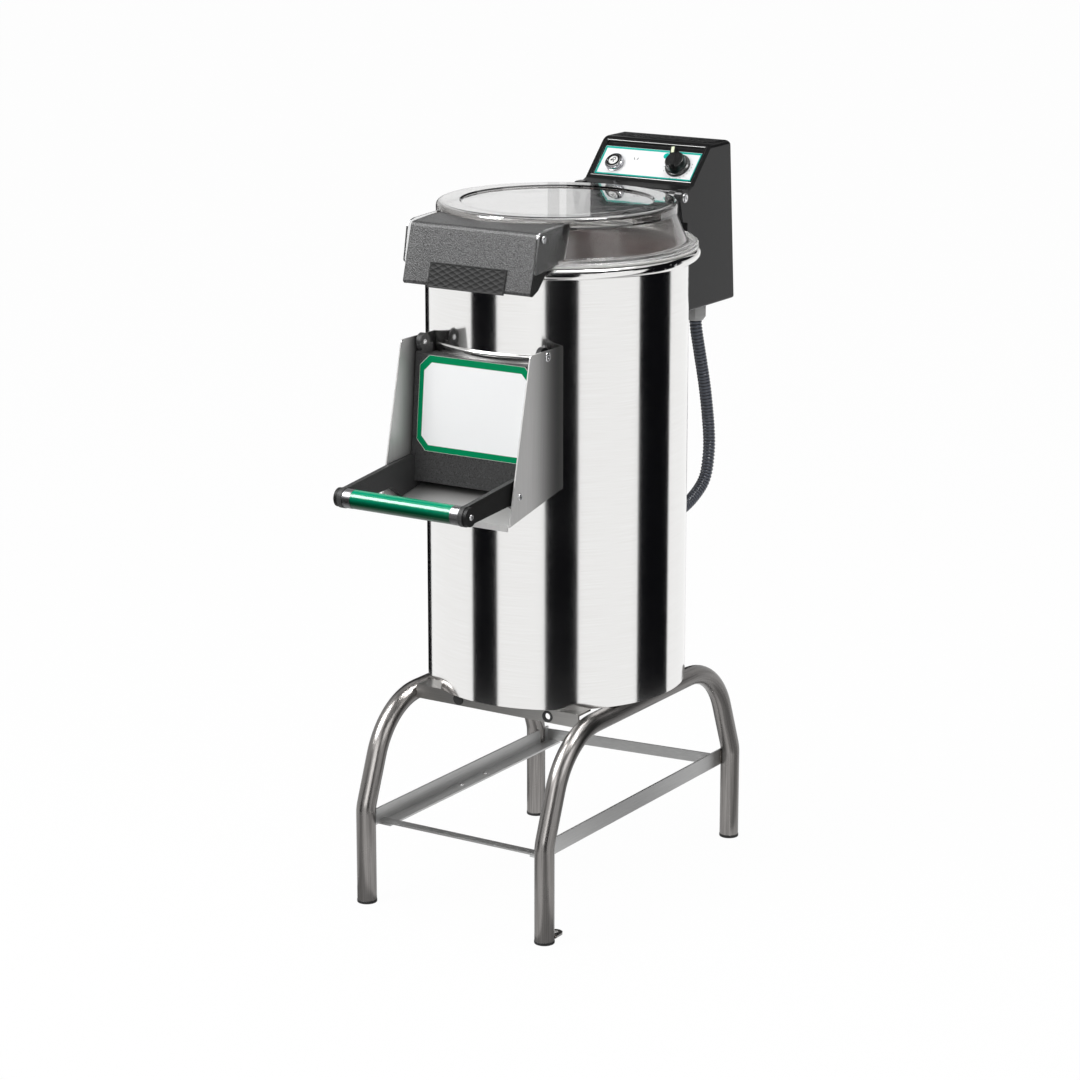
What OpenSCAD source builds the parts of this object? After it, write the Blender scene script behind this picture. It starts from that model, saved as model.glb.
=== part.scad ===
// Electric potato peeler: a steel drum with a clear lid and a side door, on a tubular stand.
// X runs across the machine, -Y is the door's side and Z is up. The origin is on the floor,
// under the middle of the overall length. The modules measure Y from the drum's axis, and
// placed() moves each piece to the origin.

/* [Drum] */
// Outer diameter of the drum
drum_d = 396; // [392:1:400]
// Sheet thickness of the drum
drum_wall = 1.5; // [1:0.1:2]
// Height of the drum's lower edge above the floor
drum_base_z = 318; // [306:1:326]
// Height of the rolled rim's top above the floor
rim_z = 985; // [975:1:1000]
// Diameter of the rim's rolled bead
bead_d = 18; // [16:0.5:20]
// Thickness of the abrasive lining
liner_t = 5; // [3:0.5:6]
// Height of the chamber's floor above the drum's lower edge
chamber_h = 282; // [274:1:290]

/* [Lid] */
// Height of the clear lid
lid_h = 66; // [60:1:70]
// Wall thickness of the clear lid
lid_wall = 3; // [2:0.5:4]
// How far the lid's wall leans in from its foot to its top
lid_lean = 13; // [9:0.5:18]
// Width of the raised ring round the lid's recessed disc
lid_ring_w = 38; // [30:1:56]
// Thickness of the sealing ring on the rim
gasket_t = 2.7; // [2:0.1:4]
// Width of the lid's handle block
grip_w = 220; // [200:1:230]
// Wall thickness of the handle block
grip_wall = 4; // [3:0.5:5]

/* [Door and chute] */
// Width of the opening in the drum
opening_w = 170; // [150:1:176]
// Height of the opening in the drum
opening_h = 166; // [150:1:170]
// Gap between the door and each side of the chute
chute_gap = 3; // [1:0.5:6]
// Sheet thickness of the chute
chute_t = 2; // [1.5:0.1:2.5]
// How far the door reaches past each side of the opening
door_lap = 23; // [21:0.5:26]
// Thickness of the door's arms
arm_t = 8; // [6:0.5:10]
// Diameter of the door's handle bar
bar_d = 28; // [24:0.5:30]
// Length of the coloured sleeve on the handle bar
sleeve_l = 172; // [150:1:180]
// Diameter of the door's pivot pins
door_pin_d = 8; // [6:0.5:10]

/* [Control box] */
// Width of the control box
box_w = 194; // [190:1:210]
// Wall thickness of the control box
box_wall = 3; // [2.5:0.5:4]
// Height of the control box
box_h = 253; // [245:1:260]
// Depth of the control box at its bottom
box_depth = 149; // [142:1:155]
// Angle between the sloped fascia and the horizontal
fascia_tilt = 45.4; // [43:0.1:48]
// Diameter of the timer knob's skirt
knob_d = 41; // [36:0.5:44]
// Diameter of the start button's collar
collar_d = 30; // [28:0.5:34]
// Diameter of the lid's hinge pins
hinge_pin_d = 8; // [6:0.5:10]
// Outer diameter of the conduit
conduit_d = 20; // [18:0.5:21]

/* [Stand] */
// Diameter of the stand's tubes
tube_d = 30; // [28:0.5:32]
// Wall thickness of the stand's tubes
tube_wall = 1.5; // [1.2:0.1:2.5]
// Distance between the centre lines of the two side frames
stand_w = 320; // [310:1:330]
// Distance between the front and rear feet of the right side frame
foot_span = 555; // [540:1:580]
// Distance between the front and rear feet of the left side frame
left_span = 479; // [465:1:495]
// Inward lean of the legs above the knee
leg_lean = 21; // [18:0.5:24]
// Height of the knee above the floor
knee_z = 141; // [130:1:150]
// Bend radius at the shoulder of a side frame
shoulder_r = 118; // [110:1:122]
// Leg width of the angle rails
rail_w = 25; // [20:1:30]
// Height of the underside of the rails above the floor
rail_z = 123; // [115:1:135]

/* [Drive] */
// Gap between the abrasive disc's edge and the lining
disc_gap = 4.5; // [2:0.5:10]
// Diameter of the spindle
spindle_d = 30; // [28:0.5:31]
// Gap between the flanges of the two pulleys
pulley_gap = 5; // [2:0.5:12]
// Belt diameter of the motor's pulley
small_pulley_d = 56; // [50:1:62]
// Gap between the motor and the drum's wall
motor_gap = 18.5; // [10:0.5:24]
// Diameter of the motor's body
motor_d = 120; // [110:1:126]
// Outer diameter of the drain's outlet
drain_d = 50; // [44:1:52]
// Outer diameter of the water inlet's stub
inlet_d = 20; // [18:0.5:22]

/* [Hidden] */
$fn = 96;
eps = 0.5;
free_gap = 0.3;
run_gap = 0.05;
arc_steps = 6;
seam = 0.02;

// Drum and chamber
drum_r = drum_d / 2;
inner_r = drum_r - drum_wall;
liner_r = inner_r - liner_t;
bead_r = bead_d / 2;
rim_r = drum_r + bead_d - 1;
floor_t = 3;
floor_z = drum_base_z + chamber_h;
disc_z = floor_z + 40;
disc_t = 12;
disc_r = liner_r - disc_gap;
disc_hub_d = 60;
washer_t = 3;
nut_h = 12;
liner_top_z = rim_z - 22;

// Lid
lid_z = rim_z + gasket_t + free_gap;
lid_top_z = lid_z + lid_h;
flange_r = rim_r - 3;
lid_foot_r = flange_r - 18;
lid_top_r = lid_foot_r - lid_lean;
lid_neck_r = lid_top_r - 3;
lid_disc_r = lid_top_r - lid_ring_w;
lid_neck_z = lid_top_z - 18;
flange_t = 3;
step_z = lid_z + 7;
step_r = flange_r - 5;
gasket_w = 14;
ear_t = 3;
ear_x = grip_w / 2 + free_gap;
ear_screw = [-rim_r, rim_z + 47];
ear_screw_r = 3;
grip_foot = [-(rim_r + 34), rim_z - 36];
grip_brow = [-(rim_r + 8), rim_z + 56];
grip_rake = atan((grip_brow.x - grip_foot.x) / (grip_brow.y - grip_foot.y));
pad_w = 132;
pad_h = 37;
pad_t = 1.5;

// Door and chute
pivot = [-(drum_r + 7), rim_z - 124];
opening_top_z = pivot.y - 27;
opening_z = opening_top_z - opening_h;
lip_z = pivot.y - 8;
chute_top_z = pivot.y + 9;
chute_bottom_z = pivot.y - 232;
chute_back_z = chute_bottom_z + 28;
chute_top_y = pivot.x - 45;
chute_bottom_y = pivot.x - 101;
catch_screw = [pivot.x - 75, pivot.y - 192];
catch_r = 3;
door_head = [pivot.x - 13, pivot.y - 15];
door_foot = [pivot.x - 31, pivot.y - 203];
door_rake = atan((door_head.x - door_foot.x) / (door_head.y - door_foot.y));
door_wall = 5;
door_x = opening_w / 2 + door_lap;
door_w = 2 * door_x;
chute_x = door_x + chute_gap + chute_t;
chute_w = 2 * chute_x;
bar_axis = [pivot.x - 202, pivot.y - 195];
bar_wall = 4;
sleeve_t = 1.5;
boss_h = 6;
arm_end_r = bar_d / 2 + 1;
seal_r = drum_r + free_gap;
seal_t = 1.4;
seal_w = 9;
door_liner_t = 1.6;
door_liner_r = seal_r + seal_t;
door_liner_x = opening_w / 2 + seal_w;
door_liner_z = opening_z - seal_w;
door_liner_top_z = opening_top_z + seal_w;
label_cut = 16;
door_lift = 1.5;
chute_slope = (chute_back_z - chute_bottom_z) / (pivot.x + 36 - chute_bottom_y);

// Control box
box_front_y = rim_r + 7;
box_z = rim_z - 128;
box_top_z = box_z + box_h;
box_x = box_w / 2;
box_back_y = box_front_y + box_depth;
box_lean = 18 / 253;
fascia_foot = [box_front_y + 16, rim_z + 65];
fascia_l = (box_top_z - fascia_foot.y) / sin(fascia_tilt);
fascia_top_y = fascia_foot.x + fascia_l * cos(fascia_tilt);
fascia_pocket = 3;
pocket_x = box_x - 6;
pocket_low = 6;
pocket_high = fascia_l - 6.3;
pocket_mid = (pocket_low + pocket_high) / 2;
bezel_w = 3.5;
bezel_rise = 1.2;
label_strip = 9;
label_h = pocket_high - pocket_low - 2 * bezel_w - label_strip;
label_t = 0.6;
label_face = label_t - fascia_pocket;
button_at = [-57, pocket_mid - 10];
knob_at = [54, pocket_mid - 5];
knob_turn = 15;
button_d = 22;
button_stem_d = 8;
button_neck_d = 18;
button_travel = 3;
collar_h = 9;
collar_floor = 2;
knob_shaft_d = 6;
knob_h = 27;
knob_lift = label_face + 0.5;
hinge = [rim_r - 2, rim_z + 51];
cheek_t = 12;
cheek_x = box_x - cheek_t;
hinge_ear_t = 12;
hinge_ear_r = box_front_y - hinge.x - eps;
hinge_ear_x = cheek_x - 3 - hinge_ear_t;
cover_screw_r = 1.8;
bracket_w = 120;
bracket_z = rim_z - 105;
bracket_h = 70;
bracket_t = 3;

// Conduit and its glands
conduit_x = 60;
gland_y = box_front_y + 92;
gland_h = 40;
gland_d = 27;
tail_z = floor_z - 76;
tail_end_y = drum_r + 7;
conduit_r = conduit_d / 2;
conduit_points = [[gland_y, box_z - 22], [gland_y, box_z - 41], [gland_y, box_z - 51],
    [gland_y + 12, box_z - 86],
    [gland_y + 29, box_z - 149], [gland_y + 43, tail_z + 116], [gland_y + 44, tail_z + 74],
    [gland_y + 31, tail_z + 34], [gland_y - 6, tail_z + 12], [tail_end_y + 57, tail_z],
    [tail_end_y + 20, tail_z], [tail_end_y, tail_z]];
conduit_rings = 36;
conduit_sides = 12;

// Stand
tube_r = tube_d / 2;
stand_x = stand_w / 2;
front_foot_y = -9.5 - foot_span / 2;
feet = [[stand_x, front_foot_y], [-stand_x, front_foot_y],
    [stand_x, front_foot_y + foot_span], [-stand_x, front_foot_y + left_span]];
knee_r = 50;
saddle_z = drum_base_z - tube_r;
cap_h = 5;
knee_top = [knee_r * (1 - cos(leg_lean)), knee_z + knee_r * sin(leg_lean)];
shoulder_z = saddle_z - shoulder_r * (1 - sin(leg_lean));
shin_l = (shoulder_z - knee_top.y) / cos(leg_lean);
shoulder_c = [knee_top.x + shin_l * sin(leg_lean) + shoulder_r * cos(leg_lean),
    saddle_z - shoulder_r];
front_plate_y = -inner_r + 26.5;
rear_plate_y = front_foot_y + left_span - shoulder_c.x;
cross_x = stand_x - tube_r + 0.2;
cross_h = 21;
cross_t = 3;
cross_flange = 35;
cross_holes = [-69, 91];
cross_hole_d = 16;
base_t = 3;
bolt_d = 9;
bolt_edge = 14;
bolt_rows = [front_plate_y + 20, rear_plate_y - 20];
bolt_x = sqrt(pow(inner_r - bolt_edge, 2) - pow(bolt_rows[0], 2));
rail_x = stand_x - 10;
rail_t = 3;
rail_start = tube_r / 2;
rail_tail = tube_r + 3;
tie_start = 14.5;
tie_w = 16;
stop_left_y = front_foot_y + left_span + tube_r;
stop_right_y = front_foot_y + foot_span - 31;
stop_h = 18;

// Drive
motor_y = inner_r - motor_d / 2 - motor_gap;
small_pulley_r = small_pulley_d / 2;
belt_t = 4;
belt_w = 16;
belt_z = floor_z - 90;
flange_rise = 5;
big_pulley_r = motor_y - small_pulley_r - 2 * flange_rise - pulley_gap;
pulley_flange_t = 2;
pulley_h = belt_w + 2 * pulley_flange_t + 2;
plate_z = belt_z - 36;
plate_t = 4;
spindle_r = spindle_d / 2;
thread_r = spindle_r - 5;
bearing_r = 31;
bearing_h = 16;
housing_r = 40;
housing_h = 66;
motor_r = motor_d / 2;
motor_h = 100;
cowl_h = 30;
motor_shaft_r = 9.5;
motor_z = plate_z - motor_h;
motor_low_z = motor_z - cowl_h + 6;
drain_at = [-60, floor_z + 28];
drain_l = 64;
drain_wall = 2;
inlet_at = [-115, rim_z - 80];

front_reach = -bar_axis.x + arm_end_r;
rear_reach = box_back_y;
axis_y = (front_reach - rear_reach) / 2;

// Outlines whose points are [x, y, fillet radius]
function unit(v) = v / norm(v);
function flat(p) = [p.x, p.y];
function turned(v, a) = [v.x * cos(a) - v.y * sin(a), v.x * sin(a) + v.y * cos(a)];
function fillet(a, b, c) =
    b.z == 0 ? [flat(b)] :
    let (u = unit(flat(a) - flat(b)))
    let (v = unit(flat(c) - flat(b)))
    let (half = acos(u * v) / 2)
    let (centre = flat(b) + unit(u + v) * b.z / sin(half))
    let (start = flat(b) + u * b.z / tan(half) - centre)
    let (sweep = -sign(cross(u, v)) * (180 - 2 * half))
    [for (i = [0:arc_steps]) centre + turned(start, sweep * i / arc_steps)];
function rounded(p) =
    let (n = len(p))
    [for (i = [0:n - 1]) each fillet(p[(i + n - 1) % n], p[i], p[(i + 1) % n])];

module placed() {
    translate([0, axis_y, 0]) children();
}

module both_sides() {
    children();
    mirror([1, 0, 0]) children();
}

// A (Y, Z) outline drawn out along X
module along_x(outline, x, width) {
    translate([x, 0, 0]) rotate([90, 0, 90]) linear_extrude(width) polygon(outline);
}

// An (X, Z) outline drawn out along Y
module along_y(outline, y, depth) {
    translate([0, y + depth, 0]) rotate([90, 0, 0]) linear_extrude(depth) polygon(outline);
}

module rod_x(r, x, at, length) {
    translate([x, at.x, at.y]) rotate([0, 90, 0]) cylinder(r = r, h = length);
}

module rod_y(r, at, y, length) {
    translate([at.x, y, at.y]) rotate([-90, 0, 0]) cylinder(r = r, h = length);
}

module rod_z(r, z, height) {
    translate([0, 0, z]) cylinder(r = r, h = height);
}

module tube_z(outer, inner, z, height) {
    difference() {
        rod_z(outer, z, height);
        rod_z(inner, z - eps, height + 2 * eps);
    }
}

module slab(size, at) {
    translate(at) cube(size);
}

// Frames of the sloped faces: local Y runs up the face and local Z stands out from it
module on_fascia() {
    translate([0, fascia_foot.x, fascia_foot.y]) rotate([fascia_tilt, 0, 0]) children();
}

module on_door() {
    translate([0, door_foot.x, door_foot.y]) rotate([90 - door_rake, 0, 0]) children();
}

module on_grip() {
    translate([0, grip_foot.x, grip_foot.y]) rotate([90 - grip_rake, 0, 0]) children();
}

// ---- Stand ----

// The ring that the stand's tubes have as their section
module tube_section() {
    difference() {
        circle(tube_r);
        circle(tube_r - tube_wall);
    }
}

// A straight length of tube from the origin up, a hairline short at both ends
module straight(length) {
    translate([0, 0, seam]) linear_extrude(length - 2 * seam) tube_section();
}

// A bend of the tube in the (Y, Z) plane, from angle a0 over sweep degrees
module bend(centre, radius, a0, sweep) {
    translate([0, centre.x, centre.y])
        rotate([90, 0, 90])
            rotate([0, 0, a0])
                rotate_extrude(angle = sweep) translate([radius, 0]) tube_section();
}

// A leg that stands at the origin and bends towards +Y into the top of its frame
module leg() {
    translate([0, 0, cap_h]) straight(knee_z - cap_h);
    bend([knee_r, knee_z], knee_r, 180 - leg_lean, leg_lean);
    translate([0, knee_top.x, knee_top.y]) rotate([-leg_lean, 0, 0]) straight(shin_l);
    bend(shoulder_c, shoulder_r, 90, 90 - leg_lean);
}

module side_tube(span) {
    color([0.62, 0.6, 0.57]) translate([stand_x, front_foot_y, 0]) {
        leg();
        translate([0, span, 0]) mirror([0, 1, 0]) leg();
        translate([0, shoulder_c.x, saddle_z]) rotate([-90, 0, 0])
            straight(span - 2 * shoulder_c.x);
    }
}

module stand_frame_left() {
    placed() mirror([1, 0, 0]) side_tube(left_span);
}

module stand_frame_right() {
    placed() side_tube(foot_span);
}

module foot_caps() {
    plug_r = tube_r - tube_wall;
    sole_r = tube_r + 0.4;
    color([0.08, 0.08, 0.08]) placed() for (foot = feet) translate(foot) {
        rotate_extrude() polygon(rounded([[0, 0, 0], [sole_r, 0, 1.5], [sole_r, cap_h, 0],
            [0, cap_h, 0]]));
        tube_z(plug_r, plug_r - 2, cap_h, 18);
    }
}

module anchor_tab() {
    tab_l = 40;
    tab_w = 24;
    tab_t = 3;
    hole_d = 9;
    reach = tab_l - tab_w / 2;
    color([0.6, 0.58, 0.55]) placed() translate([stand_x, front_foot_y, cap_h])
        difference() {
            union() {
                slab([tab_w, reach, tab_t], [-tab_w / 2, 0, 0]);
                translate([0, reach, 0]) cylinder(d = tab_w, h = tab_t);
            }
            rod_z(tube_r, -eps, tab_t + 2 * eps);
            translate([0, reach + 2, 0]) rod_z(hole_d / 2, -eps, tab_t + 2 * eps);
        }
}

// A cross plate with its upright face at the origin and its flange towards +Y
module cross_plate() {
    color([0.66, 0.65, 0.63]) difference() {
        union() {
            slab([2 * cross_x, cross_t, cross_h], [-cross_x, 0, drum_base_z - cross_h]);
            slab([2 * cross_x, cross_flange, cross_t], [-cross_x, 0, drum_base_z - cross_t]);
        }
        for (x = cross_holes)
            rod_y(cross_hole_d / 2, [x, drum_base_z - cross_h / 2 - 1], -eps, cross_t + 2 * eps);
        for (x = [-bolt_x, bolt_x]) translate([x, bolt_rows[0] - front_plate_y, 0])
            rod_z(bolt_d / 2, drum_base_z - cross_t - eps, cross_t + 2 * eps);
    }
}

module front_cross_plate() {
    placed() translate([0, front_plate_y, 0]) cross_plate();
}

module rear_cross_plate() {
    placed() translate([0, rear_plate_y, 0]) mirror([0, 1, 0]) cross_plate();
}

// The right rail of a frame with a given span, coped to its legs
module rail(span, tail) {
    inner = rail_x - rail_w;
    rivets = [front_foot_y + 229, front_foot_y + 295];
    color([0.5, 0.5, 0.5]) difference() {
        along_y([[rail_x, rail_z], [rail_x, rail_z + rail_w], [rail_x - rail_t, rail_z + rail_w],
            [rail_x - rail_t, rail_z + rail_t], [inner, rail_z + rail_t], [inner, rail_z]],
            front_foot_y + rail_start, span + tail - rail_start);
        slab([rail_w - rail_t, tie_start, rail_t + 2 * eps], [inner, front_foot_y, rail_z - eps]);
        for (y = [0, span]) translate([stand_x, front_foot_y + y, 0]) {
            rod_z(tube_r, 0, knee_z);
            rod_z(tube_r + 0.5, knee_z - eps, rail_w);
        }
        for (y = rivets) translate([(inner + rail_x) / 2, y, 0])
            rod_z(3, rail_z - eps, rail_t + 2 * eps);
    }
}

module tray_rail_left() {
    placed() mirror([1, 0, 0]) rail(left_span, rail_tail);
}

module tray_rail_right() {
    placed() rail(foot_span, 0);
}

module front_tie_bar() {
    half = rail_x - rail_t;
    color([0.55, 0.55, 0.54]) placed()
        slab([2 * half, tie_w, rail_t], [-half, front_foot_y + tie_start, rail_z + rail_t]);
}

module rear_stop_bar() {
    half = rail_x - rail_t;
    color([0.5, 0.5, 0.5]) placed() translate([0, 0, rail_z + rail_t]) linear_extrude(stop_h)
        polygon([[-half, stop_left_y], [half, stop_right_y], [half, stop_right_y + rail_t],
            [-half, stop_left_y + rail_t]]);
}

module stand_bolts() {
    color([0.75, 0.75, 0.75]) placed()
        for (x = [-bolt_x, bolt_x], y = bolt_rows) translate([x, y, drum_base_z]) {
            rod_z(bolt_d / 2, -cross_t, cross_t + base_t);
            translate([0, 0, -cross_t - 5.5]) cylinder(d = 15, h = 5.5, $fn = 6);
            rod_z(7, base_t, 5);
        }
}

// ---- Drum and chamber ----

module drum_shell() {
    lip_reach = 14;
    lip_r = 2.5;
    lip_sweep = 2 * asin((opening_w / 2 + lip_reach) / drum_r);
    pipe_wall = 3;
    color([0.82, 0.82, 0.82]) placed() {
        difference() {
            union() {
                tube_z(drum_r, inner_r, drum_base_z, rim_z - bead_r - drum_base_z);
                rotate_extrude() translate([rim_r - bead_r, rim_z - bead_r]) difference() {
                    circle(bead_r, $fn = 48);
                    circle(bead_r - drum_wall, $fn = 48);
                }
            }
            slab([opening_w, drum_r, opening_h], [-opening_w / 2, -drum_r - eps, opening_z]);
            rod_y(drain_d / 2 - drain_wall, drain_at, 0, drum_r);
            rod_y(inlet_d / 2 - pipe_wall, inlet_at, 0, drum_r);
            rod_y(conduit_r - pipe_wall, [conduit_x, tail_z], 0, drum_r);
        }
        rotate([0, 0, -90 - lip_sweep / 2]) rotate_extrude(angle = lip_sweep)
            translate([drum_r + lip_r - 1, lip_z]) circle(lip_r, $fn = 24);
    }
}

module rim_gasket() {
    color([0.75, 0.75, 0.72]) placed()
        tube_z(flange_r, flange_r - gasket_w, rim_z, gasket_t);
}

module base_plate() {
    vents = 12;
    vent_ring_r = 70;
    vent_r = 9;
    color([0.6, 0.6, 0.6]) placed() difference() {
        rod_z(inner_r, drum_base_z, base_t);
        for (i = [1:vents]) rotate([0, 0, 360 / vents * i]) translate([vent_ring_r, 0, 0])
            rod_z(vent_r, drum_base_z - eps, base_t + 2 * eps);
        for (x = [-bolt_x, bolt_x], y = bolt_rows) translate([x, y, 0])
            rod_z(bolt_d / 2, drum_base_z - eps, base_t + 2 * eps);
    }
}

module chamber_floor() {
    collar_r = housing_r + 4;
    collar_h = 18;
    wall_r = inner_r - floor_t;
    wall_h = 14;
    color([0.7, 0.7, 0.7]) placed() translate([0, 0, floor_z]) rotate_extrude() polygon([
        [collar_r - floor_t, 0], [inner_r, 0], [inner_r, wall_h], [wall_r, wall_h],
        [wall_r, floor_t], [collar_r, floor_t], [collar_r, collar_h],
        [collar_r - floor_t, collar_h]]);
}

module abrasive_liner() {
    low = disc_z - 6;
    room = 2;
    color([0.35, 0.27, 0.25]) placed() difference() {
        tube_z(inner_r, liner_r, low, liner_top_z - low);
        slab([opening_w + 2 * room, drum_r, opening_h + 2 * room],
            [-opening_w / 2 - room, -drum_r - eps, opening_z - room]);
        rod_y(inlet_d / 2 - 3, inlet_at, 0, drum_r);
    }
}

module abrasive_disc() {
    ridges = 3;
    ridge_start = disc_hub_d / 2 + 8;
    ridge_r = [8, 11];
    hub_h = 10;
    color([0.4, 0.33, 0.3]) placed() difference() {
        union() {
            rod_z(disc_r, disc_z, disc_t);
            rod_z(disc_hub_d / 2, disc_z - hub_h, hub_h);
            for (i = [0:ridges - 1]) rotate([0, 0, 30 + 360 / ridges * i])
                translate([ridge_start, 0, disc_z + disc_t]) rotate([0, 90, 0])
                    cylinder(r1 = ridge_r[0], r2 = ridge_r[1], h = disc_r - ridge_start - 6,
                        $fn = 32);
        }
        rod_z(spindle_r, disc_z - hub_h - eps, hub_h + disc_t + 2 * ridge_r[1]);
        rod_z(disc_r, disc_z - 2 * hub_h, hub_h);
    }
}

module disc_spindle() {
    color([0.7, 0.7, 0.72]) placed() {
        rod_z(spindle_r, belt_z - 6, disc_z + disc_t - belt_z + 6);
        rod_z(thread_r, disc_z + disc_t, 18);
    }
}

module disc_nut() {
    color([0.78, 0.78, 0.78]) placed() difference() {
        union() {
            rod_z(spindle_r + 6, disc_z + disc_t, washer_t);
            translate([0, 0, disc_z + disc_t + washer_t])
                cylinder(r = spindle_r + 2, h = nut_h, $fn = 6);
        }
        rod_z(thread_r, disc_z + disc_t - eps, washer_t + nut_h + 2 * eps);
    }
}

module bearing_housing() {
    bottom = floor_z - housing_h;
    flange_h = 8;
    neck_h = 14;
    rib_l = 28;
    rib_t = 6;
    color([0.55, 0.56, 0.58]) placed() difference() {
        union() {
            rod_z(housing_r, bottom, housing_h);
            rod_z(housing_r + 30, floor_z - flange_h, flange_h);
            rod_z(housing_r + 1, floor_z, neck_h);
            for (a = [45:90:315]) rotate([0, 0, a])
                slab([rib_l, rib_t, housing_h - flange_h - rib_t],
                    [housing_r - 2, -rib_t / 2, bottom + 10]);
        }
        rod_z(bearing_r, bottom - eps, housing_h + flange_h);
        rod_z(spindle_r + 6, bottom, housing_h + neck_h + eps);
        for (a = [0:90:270]) rotate([0, 0, a]) translate([housing_r + 20, 0, 0])
            rod_z(bolt_d / 2, floor_z - flange_h - eps, flange_h + 2 * eps);
    }
}

module spindle_bearings() {
    bottom = floor_z - housing_h;
    color([0.72, 0.72, 0.74]) placed()
        for (z = [bottom + 3, floor_z - 10 - bearing_h])
            tube_z(bearing_r, spindle_r + run_gap, z, bearing_h);
}

module shaft_seal() {
    color([0.12, 0.12, 0.12]) placed()
        tube_z(bearing_r, spindle_r + run_gap, floor_z - 2, 9);
}

// A flat pulley with two low flanges and a hub
module pulley(belt_r, shaft_r) {
    difference() {
        union() {
            rod_z(belt_r, belt_z, pulley_h);
            rod_z(belt_r + flange_rise, belt_z, pulley_flange_t);
            rod_z(belt_r + flange_rise, belt_z + pulley_h - pulley_flange_t, pulley_flange_t);
        }
        rod_z(shaft_r, belt_z - eps, pulley_h + 2 * eps);
    }
}

module large_pulley() {
    web_out = big_pulley_r - 8;
    web_in = spindle_r + 12;
    web_cut = 7;
    color([0.5, 0.52, 0.55]) placed() difference() {
        pulley(big_pulley_r, spindle_r);
        for (z = [belt_z - eps, belt_z + pulley_h - web_cut])
            tube_z(web_out, web_in, z, web_cut + eps);
        for (a = [0:60:300]) rotate([0, 0, a]) translate([(web_out + web_in) / 2, 0, 0])
            rod_z((web_out - web_in) / 2 - 9, belt_z, pulley_h);
    }
}

module motor_pulley() {
    color([0.5, 0.52, 0.55]) placed() translate([0, motor_y, 0])
        pulley(small_pulley_r, motor_shaft_r);
}

// The flat outline round both pulleys at a given height above their belt faces
module belt_outline(rise) {
    big = big_pulley_r + rise;
    small = small_pulley_r + rise;
    a = asin((big - small) / motor_y);
    circle(big);
    translate([0, motor_y]) circle(small);
    polygon([big * [cos(a), sin(a)], [small * cos(a), motor_y + small * sin(a)],
        [-small * cos(a), motor_y + small * sin(a)], big * [-cos(a), sin(a)]]);
}

module drive_belt() {
    color([0.07, 0.07, 0.07]) placed()
        translate([0, 0, belt_z + pulley_flange_t + 1]) linear_extrude(belt_w)
            difference() {
                belt_outline(free_gap + belt_t);
                belt_outline(free_gap);
            }
}

module drive_plate() {
    rim_h = 20;
    cable_holes = [-150, -100];
    color([0.58, 0.58, 0.58]) placed() difference() {
        union() {
            rod_z(inner_r, plate_z, plate_t);
            tube_z(inner_r, inner_r - 3, plate_z - rim_h, rim_h);
        }
        translate([0, motor_y, 0]) rod_z(motor_r / 2, plate_z - eps, plate_t + 2 * eps);
        for (y = cable_holes) translate([0, y, 0])
            rod_z(16, plate_z - eps, plate_t + 2 * eps);
    }
}

module motor_housing() {
    fins = 24;
    fin_h = 8;
    rim_t = 10;
    cowl_wall = 2;
    color([0.45, 0.5, 0.55]) placed() translate([0, motor_y, 0]) difference() {
        union() {
            rod_z(motor_r - fin_h + 2, motor_z, motor_h);
            rod_z(motor_r, plate_z - rim_t, rim_t);
            for (i = [0:fins - 1]) rotate([0, 0, 360 / fins * i])
                slab([fin_h, 2, motor_h - rim_t], [motor_r - fin_h, -1, motor_z]);
            tube_z(motor_r, motor_r - cowl_wall, motor_z - cowl_h, cowl_h + 4);
        }
        rod_z(motor_shaft_r + run_gap, motor_z - eps, motor_h + 2 * eps);
        rod_z(motor_r - 10, motor_z - eps, 3);
    }
}

module motor_shaft() {
    color([0.75, 0.75, 0.76]) placed() translate([0, motor_y, 0])
        rod_z(motor_shaft_r, motor_low_z, belt_z + pulley_h + 4 - motor_low_z);
}

module motor_fan() {
    blades = 8;
    fan_r = motor_r - 12;
    fan_h = 16;
    hub_r = motor_shaft_r + 6;
    color([0.2, 0.2, 0.22]) placed() translate([0, motor_y, motor_low_z + 2])
        difference() {
            union() {
                rod_z(hub_r, 0, fan_h);
                rod_z(fan_r, 0, 2);
                for (i = [0:blades - 1]) rotate([0, 0, 360 / blades * i])
                    slab([fan_r - hub_r + 1.5, 2, fan_h - 2], [hub_r - 1.5, -1, 1]);
            }
            rod_z(motor_shaft_r, -eps, fan_h + 2 * eps);
        }
}

module drain_outlet() {
    reach = drum_r + drain_l;
    color([0.7, 0.7, 0.7]) placed() difference() {
        union() {
            rod_y(drain_d / 2, drain_at, drum_r / 2, reach - drum_r / 2);
            rod_y(drain_d / 2 + 4, drain_at, drum_r / 2, drum_r / 2);
        }
        rod_y(drain_d / 2 - drain_wall, drain_at, 0, reach + eps);
        rod_z(drum_r, drain_at.y - drain_d, 2 * drain_d);
    }
}

module water_inlet() {
    reach = drum_r + 10;
    nut_w = 30;
    color([0.75, 0.68, 0.45]) placed() difference() {
        union() {
            rod_y(inlet_d / 2, inlet_at, drum_r / 2, reach - drum_r / 2);
            translate([inlet_at.x, drum_r / 2, inlet_at.y]) rotate([-90, 0, 0])
                cylinder(d = nut_w, h = drum_r / 2 - 22, $fn = 6);
        }
        rod_y(inlet_d / 2 - 3, inlet_at, 0, reach + eps);
        rod_z(drum_r, inlet_at.y - nut_w, 2 * nut_w);
    }
}

// ---- Chute and door ----

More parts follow.
